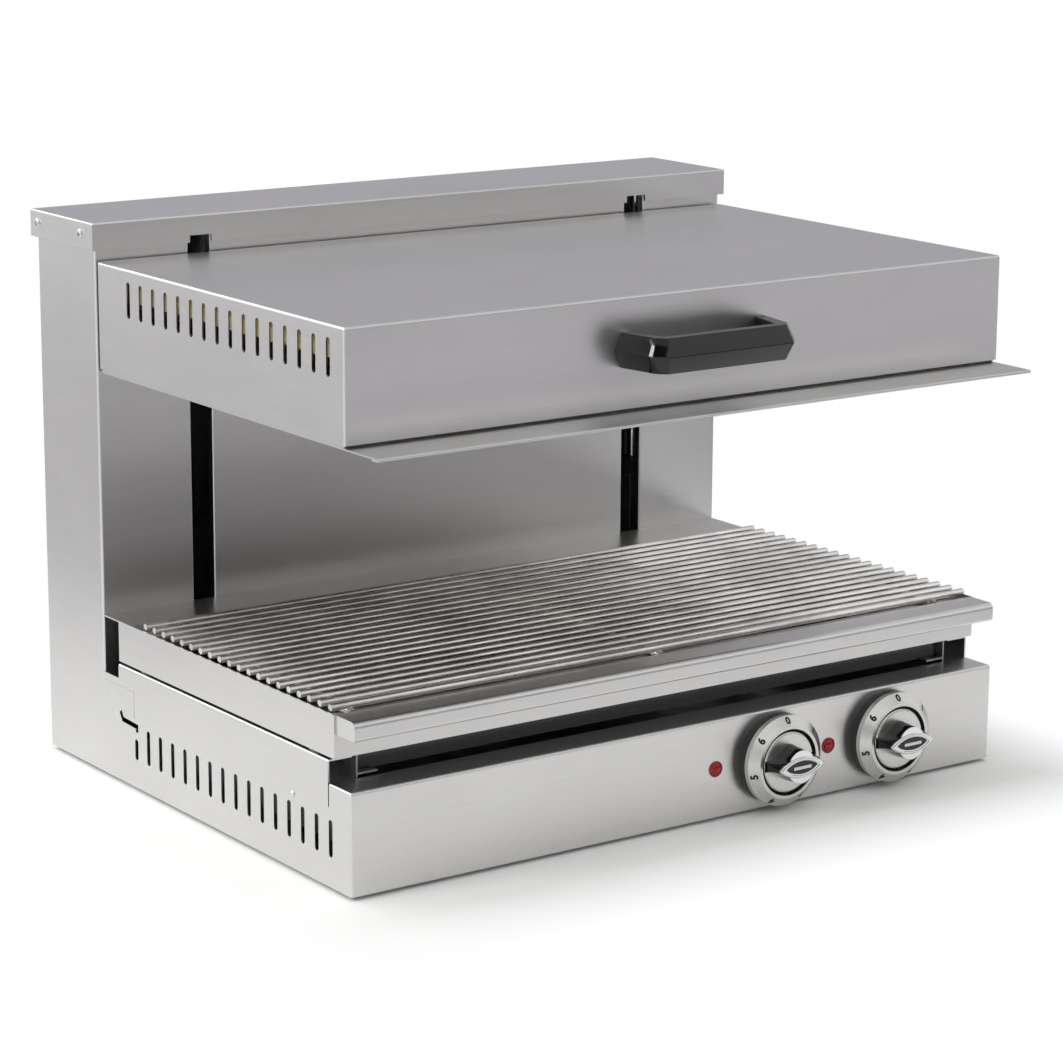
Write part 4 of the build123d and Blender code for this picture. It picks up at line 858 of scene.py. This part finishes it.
class MELTER_OT_dial_digits(bpy.types.Operator):
    """Prints the plain numbers round each dial's cone"""

    bl_idname = "melter.dial_digits"
    bl_label = "Print the dial numbers"

    outer: length("Cone's outer radius", "Radius at the dial's rim", 35.5)
    inner: length("Cone's inner radius", "Radius at the dial's front", 28.5)
    depth: length("Cone's depth", "Height of the cone", 6.0)
    film: length("Ink", "Thickness of the print", 0.05)

    def execute(self, context):
        settings = context.scene.melter
        controls = settings.controls
        rise = math.hypot(self.outer - self.inner, self.depth)
        slope, drop = (self.outer - self.inner) / rise, self.depth / rise
        for name, centre in dial_places():
            joined = bmesh.new()
            for digit in range(controls.digits):
                curve = bpy.data.curves.new("digit", "FONT")
                curve.body = str(digit)
                curve.size = controls.digit_height / 0.7  # a digit is 0.7 of the size
                curve.align_x = "CENTER"
                curve.align_y = "CENTER"
                curve.offset = 0.05 * curve.size  # bolder strokes
                curve.extrude = self.film
                holder = bpy.data.objects.new("digit", curve)
                context.scene.collection.objects.link(holder)
                graph = context.evaluated_depsgraph_get()
                mesh = bpy.data.meshes.new_from_object(holder.evaluated_get(graph))
                bpy.data.objects.remove(holder)
                bpy.data.curves.remove(curve)
                turn = 2 * math.pi * digit / controls.digits
                radial = Vector((math.sin(turn), 0.0, math.cos(turn)))
                up = radial * slope + Vector((0.0, drop, 0.0))
                normal = radial * drop - Vector((0.0, slope, 0.0))
                across = up.cross(normal)
                place = centre + radial * (self.outer + self.inner) / 2
                place.y += self.depth / 2
                turned = Matrix((across, up, normal)).transposed().to_4x4()
                mesh.transform(Matrix.Translation(place) @ turned)
                joined.from_mesh(mesh)
                bpy.data.meshes.remove(mesh)
            new_piece(f"{name}_dial_numbers", mesh_of("numbers", joined),
                      finish_of(dial_ink, settings), "base")
        return {"FINISHED"}


class MELTER_OT_knobs(bpy.types.Operator):
    """Makes each knob's flared grip, its round boss, bright oval rim and ridge"""

    bl_idname = "melter.knobs"
    bl_label = "Make the knob grips"

    band: length("Band", "Half height of the grip's band at the disc's rim", 4.2)
    flare: length("Flare", "Grip's bulge above the band, on the disc", 10.3)
    bulge: length("Bulge", "Half width of the bulge on the disc", 10.5)
    boss_step: length("Boss step", "Boss behind the oval's crown", 1.0)
    recess_length: length("Recess length", "Length of the oval's recess", 29.0)
    recess_width: length("Recess width", "Width of the oval's recess", 9.4)
    ridge_length: length("Ridge length", "Length of the ridge in the recess", 17.0)
    ridge_width: length("Ridge width", "Width of the ridge in the recess", 2.6)
    samples: bpy.props.IntProperty(name="Samples", description="Points along one edge",
                                   default=28, min=8, max=90)

    def outline(self, half_length, height_at):
        """A closed outline from half heights along the grip, above and then below."""
        turns = [math.pi * step / self.samples for step in range(self.samples + 1)]
        across = [-half_length * math.cos(turn) for turn in turns]
        upper = [(u, height_at(u)) for u in across]
        lower = [(u, -height_at(u)) for u in reversed(across)]
        return upper + lower

    def execute(self, context):
        settings = context.scene.melter
        controls = settings.controls
        half_oval, half_width = controls.oval_length / 2, controls.oval_width / 2
        boss = controls.boss_radius
        least = 0.15 * MM

        def oval(u, along, wide):
            return max(least, wide * (1 - (u / along) ** 2) ** 0.8) if abs(u) < along else least

        def front(u):
            circle = math.sqrt(max(0.0, boss ** 2 - u ** 2))
            return max(oval(u, half_oval, half_width), circle)

        def foot(u):
            return self.band + self.flare * math.exp(-(u / self.bulge) ** 2)

        for name, centre in dial_places():
            grip_low, grip_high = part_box(f"{name}_knob_grip")
            front_y = grip_low.y
            disc_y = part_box(f"{name}_knob_disc")[0].y
            crown_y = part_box(f"{name}_knob_trim")[0].y
            foot_half = (grip_high.x - grip_low.x) / 2

            def at(u, v, y):
                return (centre.x + u, y, centre.z + v)

            # The grip goes from its foot's outline on the disc to its front's, by share.
            grip = bmesh.new()
            loops = []
            for share, y in ((0.0, disc_y + 0.3 * MM), (0.12, disc_y - 1.5 * MM),
                             (0.35, disc_y + 0.30 * (front_y - disc_y)),
                             (0.62, disc_y + 0.60 * (front_y - disc_y)),
                             (0.85, disc_y + 0.85 * (front_y - disc_y)), (1.0, front_y)):
                half_length = foot_half + (half_oval - foot_half) * share

                def height(u):
                    scaled = u / half_length
                    return (foot(scaled * foot_half) * (1 - share)
                            + front(scaled * half_oval) * share)

                loops.append([at(u, v, y) for u, v in self.outline(half_length, height)])
            loops_to_shell(grip, loops)
            new_piece(f"{name}_grip", mesh_of("grip", grip), finish_of(glossy_black, settings),
                      f"{name}_knob", (f"{name}_knob_grip",), smooth_deg=50.0)

            disc = bmesh.new()
            step = self.boss_step
            lathe(disc, [(0.0, 0.0), (boss - 0.2 * MM, 0.0), (boss, 0.4 * MM),
                         (boss, front_y - crown_y - step - 0.3 * MM),
                         (boss - 0.4 * MM, front_y - crown_y - step),
                         (0.0, front_y - crown_y - step)],
                  48, lambda a, b, h: at(a, b, front_y + 0.2 * MM - h))
            new_piece(f"{name}_grip_boss", mesh_of("boss", disc), finish_of(polished, settings),
                      f"{name}_knob")

            # The rim goes from the oval's outside over its crown to the recess, by share.
            rim = bmesh.new()
            outer_u, outer_v = half_oval, half_width
            inner_u, inner_v = self.recess_length / 2, self.recess_width / 2
            loops = []
            for share, y in ((0.0, front_y + 0.1 * MM), (0.0, crown_y + 0.9 * MM),
                             (0.15, crown_y + 0.25 * MM), (0.4, crown_y),
                             (0.7, crown_y + 0.15 * MM), (0.92, crown_y + 0.6 * MM),
                             (1.0, crown_y + 1.2 * MM),
                             (1.0, front_y + 0.1 * MM)):
                along = outer_u + (inner_u - outer_u) * share
                wide = outer_v + (inner_v - outer_v) * share
                loops.append([at(u, v, y) for u, v in
                              self.outline(along, lambda u: oval(u, along, wide))])
            rings = loops_to_shell(rim, loops, closed=False)
            join_rings(rim, (rings[-1], rings[0]))
            new_piece(f"{name}_grip_rim", mesh_of("rim", rim), finish_of(polished, settings),
                      f"{name}_knob", (f"{name}_knob_trim",), smooth_deg=50.0)

            floor = bmesh.new()
            floor_y = crown_y + step - 0.15 * MM
            loops = [[at(u, v, y) for u, v in
                      self.outline(inner_u, lambda u: oval(u, inner_u, inner_v))]
                     for y in (front_y, floor_y)]
            loops_to_shell(floor, loops)
            new_piece(f"{name}_grip_inlay", mesh_of("inlay", floor),
                      finish_of(glossy_black, settings), f"{name}_knob")

            ridge = bmesh.new()
            box = bmesh.ops.create_cube(ridge, size=1.0)["verts"]
            height = 0.9 * MM
            bmesh.ops.scale(ridge, vec=(self.ridge_length, height, self.ridge_width),
                            verts=box)
            bmesh.ops.translate(ridge, vec=at(0.0, 0.0, floor_y - height / 2 + 0.1 * MM),
                                verts=box)
            mesh = rounded("ridge", mesh_of("ridge_block", ridge), 0.4 * MM, segments=3)
            new_piece(f"{name}_grip_ridge", mesh, finish_of(turned_aluminium, settings),
                      f"{name}_knob")
        return {"FINISHED"}


class MELTER_OT_lamps(bpy.types.Operator):
    """Makes the domed red lenses of the pilot lamps"""

    bl_idname = "melter.lamps"
    bl_label = "Make the pilot lamps"

    flange: length("Flange", "Thickness of the lens's flange", 0.9)
    dome_inset: length("Dome inset", "Dome's foot in from the flange's rim", 1.3)
    steps: bpy.props.IntProperty(name="Steps", description="Rows of faces up the dome",
                                 default=9, min=3, max=30)

    def execute(self, context):
        settings = context.scene.melter
        low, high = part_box("pilot_lamp_lenses")
        radius = (high.z - low.z) / 2
        rise = high.y - low.y
        middle_z = (low.z + high.z) / 2
        lens = bmesh.new()
        inner, foot = radius - self.dome_inset, self.flange * 1.15
        profile = [(0.0, 0.0), (radius, 0.0), (radius, self.flange * 0.6),
                   (radius - 0.5 * MM, self.flange), (radius - 1.0 * MM, self.flange),
                   (inner, foot)]
        for step in range(1, self.steps + 1):
            turn = math.pi / 2 * step / self.steps
            profile.append((inner * math.cos(turn) if step < self.steps else 0.0,
                            foot + (rise - foot) * math.sin(turn)))
        for x in (low.x + radius, high.x - radius):
            lathe(lens, profile, 40, lambda a, b, h, x=x: (x + a, high.y - h, middle_z + b))
        new_piece("pilot_lenses", mesh_of("lenses", lens), finish_of(lamp_red, settings), "base",
                  ("pilot_lamp_lenses",))
        return {"FINISHED"}


class MELTER_OT_screws(bpy.types.Operator):
    """Makes the cross-recessed screw heads of the cap and the rear cover"""

    bl_idname = "melter.screws"
    bl_label = "Make the screws"

    head_radius: length("Head", "Radius of a screw's head", 3.6)
    recess_depth: length("Recess", "Depth of the cross recess", 0.9)
    recess_reach: length("Recess reach", "Half length of the cross recess", 2.0)
    recess_wide: length("Recess width", "Width of the cross recess", 0.8)
    shank: length("Shank", "Radius of the shank", 2.0)
    cap_shank: length("Cap shank", "Length of a cap screw's shank", 4.4)

    def head(self, rise, shank_length):
        """One pan head along +Z, its seat at the origin, with its shank below."""
        shape = bmesh.new()
        reach, wide = self.recess_reach, self.recess_wide / 2
        cross = [(wide, wide), (wide, reach), (-wide, reach), (-wide, wide), (-reach, wide),
                 (-reach, -wide), (-wide, -wide), (-wide, -reach), (wide, -reach),
                 (wide, -wide), (reach, -wide), (reach, wide)]
        corners = [math.atan2(y, x) for x, y in cross]
        segments = 4 * len(cross)
        turns = [2 * math.pi * step / segments for step in range(segments)]

        def ring(radius, z):
            return [shape.verts.new((radius * math.cos(t), radius * math.sin(t), z))
                    for t in turns]

        def cross_ring(z, shrink):
            made = []
            for t in turns:
                nearest = min(range(len(cross)), key=lambda i: abs(
                    math.remainder(t - corners[i], 2 * math.pi)))
                x, y = cross[nearest]
                made.append(shape.verts.new((x * shrink, y * shrink, z)))
            return made

        radius = self.head_radius
        rings = [ring(self.shank, -shank_length), ring(self.shank, 0.0), ring(radius, 0.0),
                 ring(radius, 0.35 * rise), ring(0.93 * radius, 0.68 * rise),
                 ring(0.8 * radius, 0.88 * rise), ring(0.66 * radius, rise),
                 cross_ring(rise, 1.0), cross_ring(rise - self.recess_depth, 0.8)]
        join_rings(shape, rings)
        shape.faces.new(list(reversed(rings[0])))
        shape.faces.new(rings[-1])
        bmesh.ops.remove_doubles(shape, verts=shape.verts, dist=1e-7)
        bmesh.ops.dissolve_degenerate(shape, edges=shape.edges, dist=1e-7)
        return held(mesh_of("screw_head", shape))

    def execute(self, context):
        settings = context.scene.melter
        finish = finish_of(polished, settings)
        radius = self.head_radius
        low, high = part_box("cap_screws")
        cap_low, cap_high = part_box("column_cap")
        cap = [((x, y, (low.z + high.z) / 2), (side, 0.0, 0.0))
               for x, side in ((cap_low.x, -1.0), (cap_high.x, 1.0))
               for y in (low.y + radius, high.y - radius)]
        rear_low, rear_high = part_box("rear_cover_screws")
        plate_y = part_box("rear_cover")[1].y
        rear = [((x, plate_y, z), (0.0, 1.0, 0.0))
                for x in (rear_low.x + radius, rear_high.x - radius)
                for z in (rear_low.z + radius, (rear_low.z + rear_high.z) / 2,
                          rear_high.z - radius)]
        for name, points, node, rise, reach in (
                ("cap_screw_heads", cap, "cap_screws", cap_low.x - low.x, self.cap_shank),
                ("rear_screw_heads", rear, "rear_cover_screws", rear_high.y - plate_y,
                 plate_y - rear_low.y)):
            seed = bpy.data.meshes.new("points")
            seed.from_pydata([place for place, _ in points], [], [])
            facing = seed.attributes.new("facing", "FLOAT_VECTOR", "POINT")
            facing.data.foreach_set("vector", [v for _, way in points for v in way])
            head = self.head(rise, reach)
            tree, identifiers = screw_tree()
            mesh = grown(name, tree, identifiers, {"Head": head, "Finish": finish}, start=seed)
            bpy.data.objects.remove(head)
            new_piece(name, mesh, finish, "base", (node,), smooth_deg=40.0)
        return {"FINISHED"}


class MELTER_OT_cables(bpy.types.Operator):
    """Makes the wire ropes of the hood and the counterweight"""

    bl_idname = "melter.cables"
    bl_label = "Make the cables"

    strands: bpy.props.IntProperty(name="Strands", description="Strands laid round a rope",
                                   default=6, min=3, max=12)
    groove: amount("Groove", "Depth of the groove between strands, as a share", 0.16)
    lay: length("Lay", "Height in which a strand goes once round", 20.0)
    step: length("Step", "Height of one row of faces", 1.4)

    def rope(self, shape, x, y, radius, low, high):
        """One upright rope: a closed skin over its strands."""
        sides = 4 * self.strands
        rows = max(2, round((high - low) / self.step))
        loops = []
        for row in range(rows + 1):
            z = low + (high - low) * row / rows
            loop = []
            for side in range(sides):
                turn = 2 * math.pi * (side / sides + (z - low) / self.lay)
                crest = abs(math.sin(self.strands * math.pi * side / sides))
                reach = radius * (1 - self.groove * (1 - crest))
                loop.append((x + reach * math.cos(turn), y + reach * math.sin(turn), z))
            loops.append(loop)
        loops_to_shell(shape, loops)

    def execute(self, context):
        settings = context.scene.melter
        for node, body in (("hood_cables", "hood"), ("weight_cables", "counterweight")):
            low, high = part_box(node)
            radius, middle = (high.y - low.y) / 2, (low.y + high.y) / 2
            shape = bmesh.new()
            for x in (low.x + radius, high.x - radius):
                self.rope(shape, x, middle, radius, low.z, high.z)
            new_piece(node.replace("cables", "ropes"), mesh_of(node, shape),
                      finish_of(wire_rope, settings), ("base", body), (node,),
                      stretch=((0.0, middle, high.z), (0.0, middle, low.z)))
        return {"FINISHED"}


class MELTER_OT_insulation(bpy.types.Operator):
    """Makes the glass wool blanket with its ragged, layered edges"""

    bl_idname = "melter.insulation"
    bl_label = "Make the insulation"

    cell: length("Tuft", "Size of the blanket's tufts", 7.0)
    rag: length("Rag", "Depth of the ragged edge", 3.0)
    layers: bpy.props.IntProperty(name="Layers", description="Layers through the thickness",
                                  default=8, min=2, max=30)
    flat_share: amount("Flat share", "Rag of the top and bottom against the sides", 0.35)
    lumps: bpy.props.FloatVectorProperty(name="Lumps", size=3, subtype="XYZ",
                                         description="Lumps per metre on X, Y and Z",
                                         default=(60.0, 60.0, 420.0))

    def execute(self, context):
        settings = context.scene.melter
        low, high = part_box("insulation_blanket")
        shape = bmesh.new()
        size, middle = high - low, (low + high) / 2
        box = bmesh.ops.create_cube(shape, size=1.0)["verts"]
        bmesh.ops.scale(shape, vec=size, verts=box)
        bmesh.ops.translate(shape, vec=middle, verts=box)
        for axis, steps in enumerate((int(size.x / self.cell), int(size.y / self.cell),
                                      self.layers)):
            for step in range(1, steps):
                plane = low.copy()
                plane[axis] += size[axis] * step / steps
                normal = Vector((0.0, 0.0, 0.0))
                normal[axis] = 1.0
                bmesh.ops.bisect_plane(shape, geom=shape.verts[:] + shape.edges[:]
                                       + shape.faces[:], plane_co=plane, plane_no=normal)
        for vert in shape.verts:
            depth = self.rag * (0.5 + 0.5 * noise.noise(vert.co * Vector(self.lumps)))
            for axis in range(3):
                edge = high[axis] if vert.co[axis] > middle[axis] else low[axis]
                if abs(vert.co[axis] - edge) < 1e-6:
                    inward = -1.0 if edge == high[axis] else 1.0
                    vert.co[axis] += inward * depth * (self.flat_share if axis == 2 else 1.0)
        new_piece("glass_wool", mesh_of("glass_wool", shape), finish_of(mineral_wool, settings),
                  "hood", ("insulation_blanket",), smooth_deg=80.0)
        return {"FINISHED"}


class MELTER_OT_stage(bpy.types.Operator):
    """Sets the camera at the photograph's angle, the pale floor and the soft light"""

    bl_idname = "melter.stage"
    bl_label = "Set the stage"

    floor_size: length("Floor", "Side of the floor", 16000.0)
    card_lift: length("Card lift", "Height of the level cards over the floor", 4.0)
    near: length("Shadow ground", "Floor that keeps shadows, out from the footprint", 5.0)
    far: length("White ground", "Where the floor is plain white, from the footprint", 95.0)

    def floor_material(self, stage):
        """Matt painted floor, which is plain white away from the object."""
        made, tree = start_material("pale_painted_floor")
        coords = add(tree, "ShaderNodeTexCoord")
        folded = add(tree, "ShaderNodeVectorMath", {0: coords.outputs["Object"]},
                     operation="ABSOLUTE")
        size = CAD_BOX[1] - CAD_BOX[0]
        past = add(tree, "ShaderNodeVectorMath",
                   {0: folded.outputs[0], 1: (size.x / 2, size.y / 2, 0.0)},
                   operation="SUBTRACT")
        outside = add(tree, "ShaderNodeVectorMath", {0: past.outputs[0], 1: (0.0, 0.0, 0.0)},
                      operation="MAXIMUM")
        away = add(tree, "ShaderNodeVectorMath", {0: outside.outputs[0]}, operation="LENGTH")
        fade = add(tree, "ShaderNodeMapRange", {"Value": away.outputs["Value"],
                                                "From Min": self.near, "From Max": self.far})
        paint = add(tree, "ShaderNodeBsdfDiffuse", {"Color": self.grained(tree, stage.floor,
                                                                          5.0, 0.99)})
        white = add(tree, "ShaderNodeEmission", {"Color": (1.0, 1.0, 1.0, 1.0), "Strength": 1.0})
        share = add(tree, "ShaderNodeMath", {0: fade.outputs["Result"], 1: self.seen(tree)},
                    operation="MULTIPLY")
        mixed = add(tree, "ShaderNodeMixShader", {0: share.outputs[0], 1: paint.outputs[0],
                                                  2: white.outputs[0]})
        add(tree, "ShaderNodeOutputMaterial", {"Surface": mixed.outputs[0]})
        return made

    def grained(self, tree, base, cell_mm, darkest):
        """A colour that noise darkens a little, down to a share of itself."""
        grain = cells(tree, (cell_mm, cell_mm, cell_mm))
        mixed = add(tree, "ShaderNodeMix", {"Factor": grain.outputs["Fac"],
                                            "A": (*shade(base, darkest), 1.0),
                                            "B": (*base, 1.0)}, data_type="RGBA")
        return mixed.outputs["Result"]

    def seen(self, tree):
        """1 for what the camera, a reflection or a clear material shows."""
        path = add(tree, "ShaderNodeLightPath")
        total = path.outputs["Is Camera Ray"]
        for label in ("Is Glossy Ray", "Is Transmission Ray"):
            total = add(tree, "ShaderNodeMath", {0: total, 1: path.outputs[label]},
                        operation="MAXIMUM").outputs[0]
        return total

    def card_material(self, name, grey):
        """Evenly lit grey cloth, seen only in reflections."""
        made, tree = start_material(name)
        glow = add(tree, "ShaderNodeEmission", {"Color": self.grained(tree, grey, 30.0, 0.97)})
        add(tree, "ShaderNodeOutputMaterial", {"Surface": glow.outputs[0]})
        return made

    def level(self, x_low, x_high, y_first, y_last, z):
        """The corners of a level rectangle."""
        return [(x_low, y_first, z), (x_high, y_first, z), (x_high, y_last, z),
                (x_low, y_last, z)]

    def upright(self, start, end, z_low, z_high):
        """The corners of an upright rectangle that runs from start to end, seen from above."""
        return [(*start, z_low), (*end, z_low), (*end, z_high), (*start, z_high)]

    def plane(self, name, corners, finish):
        """A flat stage piece with four corners."""
        mesh = bpy.data.meshes.new(name)
        mesh.from_pydata(corners, [], [(0, 1, 2, 3)])
        mesh.materials.append(finish)
        made = bpy.data.objects.new(name, mesh)
        bpy.context.scene.collection.objects.link(made)
        return made

    def execute(self, context):
        scene = context.scene
        stage = scene.melter.stage
        scene.view_settings.view_transform = "Standard"

        around, above = stage.azimuth, stage.elevation
        back = Vector((math.sin(around) * math.cos(above), -math.cos(around) * math.cos(above),
                       math.sin(above)))
        right = Vector((0.0, 0.0, 1.0)).cross(back).normalized()
        up = back.cross(right)
        rolled_right = right * math.cos(stage.roll) + up * math.sin(stage.roll)
        rolled_up = up * math.cos(stage.roll) - right * math.sin(stage.roll)
        data = bpy.data.cameras.new("camera")
        data.lens = stage.lens
        data.sensor_width = 36.0  # millimetres
        data.clip_end = 100.0  # past the far edge of the floor
        camera = bpy.data.objects.new("camera", data)
        scene.collection.objects.link(camera)
        turn = Matrix((rolled_right, rolled_up, back)).transposed().to_4x4()
        place = Vector(stage.target) + back * stage.distance
        camera.matrix_world = Matrix.Translation(place) @ turn
        scene.camera = camera

        half, lift = self.floor_size / 2, self.card_lift
        self.plane("floor", self.level(-half, half, -half, half, 0.0),
                   self.floor_material(stage))

        # Each card's corners in metres. Only reflections show them.
        cards = (
            ("near_card", stage.near_card, self.level(-3.2, 3.6, -0.66, -1.08, lift)),
            ("front_card", stage.front_card, self.level(-3.2, 3.6, -1.08, -4.5, lift)),
            ("right_card", stage.near_card, self.level(0.62, 3.6, -0.66, 1.0, lift)),
            ("far_card", stage.far_card, self.upright((-3.2, -4.5), (5.5, -4.5), 0.0, 1.7)),
            ("side_card", stage.side_card, self.level(-3.0, -0.52, 0.45, 3.2, lift)),
            ("ceiling_card", stage.ceiling_card, self.level(-3.5, 3.5, -2.5, 4.0, 3.3)),
            ("rear_card", stage.rear_card, self.upright((-0.4, 3.6), (4.2, 0.6), 0.0, 2.4)),
            ("black_card", stage.black_card,
             self.upright((-2.1, -0.75), (-1.7, -1.6), 1.4, 2.3)))
        for name, grey, corners in cards:
            made = self.plane(name, corners, self.card_material(name, grey))
            made.visible_camera = False
            made.visible_shadow = False
            made.visible_diffuse = False

        world = bpy.data.worlds.new("studio")
        world.use_nodes = True
        tree = world.node_tree
        tree.nodes.clear()
        level = add(tree, "ShaderNodeMix", {"Factor": self.seen(tree), "A": stage.ambient,
                                            "B": 1.0}, data_type="FLOAT")
        light = add(tree, "ShaderNodeBackground", {"Color": (1.0, 1.0, 1.0, 1.0),
                                                   "Strength": level.outputs["Result"]})
        add(tree, "ShaderNodeOutputWorld", {"Surface": light.outputs[0]})
        scene.world = world

        # Each softbox's place and side in metres. All face the object's middle.
        middle = (CAD_BOX[0] + CAD_BOX[1]) / 2
        for name, place, side, radiance in (
                ("key_softbox", (-2.58, 0.18, 1.84), 0.7, stage.key),
                ("side_softbox", (-2.2, 1.5, 1.5), 1.1, stage.side),
                ("back_softbox", (-1.1, 2.9, 2.1), 1.7, stage.back),
                ("top_softbox", (-0.2, 0.3, 2.9), 2.6, stage.top)):
            lamp = bpy.data.lights.new(name, "AREA")
            lamp.shape = "SQUARE"
            lamp.size = side
            lamp.energy = radiance * math.pi * side ** 2
            made = bpy.data.objects.new(name, lamp)
            scene.collection.objects.link(made)
            facing = (Vector(place) - middle).to_track_quat("Z", "Y").to_matrix().to_4x4()
            made.matrix_world = Matrix.Translation(place) @ facing
        return {"FINISHED"}


OPERATORS = (MELTER_OT_finishes, MELTER_OT_wire_grid, MELTER_OT_handle, MELTER_OT_dial_digits,
             MELTER_OT_knobs, MELTER_OT_lamps, MELTER_OT_screws, MELTER_OT_cables,
             MELTER_OT_insulation, MELTER_OT_stage)


class MELTER_PT_panel(bpy.types.Panel):
    """Lists the melter's sizes, colours and pieces"""

    bl_label = "Cheese melter"
    bl_idname = "MELTER_PT_panel"
    bl_space_type = "VIEW_3D"
    bl_region_type = "UI"
    bl_category = "Melter"

    def draw(self, context):
        settings = context.scene.melter
        for group in (settings.steel, settings.controls, settings.grid, settings.stage):
            box = self.layout.box()
            for key in group.bl_rna.properties.keys():
                if key not in ("rna_type", "name"):
                    box.prop(group, key)
        for operator in OPERATORS:
            self.layout.operator(operator.bl_idname)


CLASSES = (MelterSteel, MelterControls, MelterGrid, MelterStage, MelterSettings, *OPERATORS,
           MELTER_PT_panel)


def register():
    for entry in CLASSES:
        bpy.utils.register_class(entry)
    bpy.types.Scene.melter = bpy.props.PointerProperty(type=MelterSettings)


def unregister():
    del bpy.types.Scene.melter
    for entry in reversed(CLASSES):
        bpy.utils.unregister_class(entry)


def main():
    """Makes every piece in order."""
    register()
    for operator in OPERATORS:
        getattr(bpy.ops.melter, operator.bl_idname.split(".")[1])()


if __name__ == "__main__":
    main()
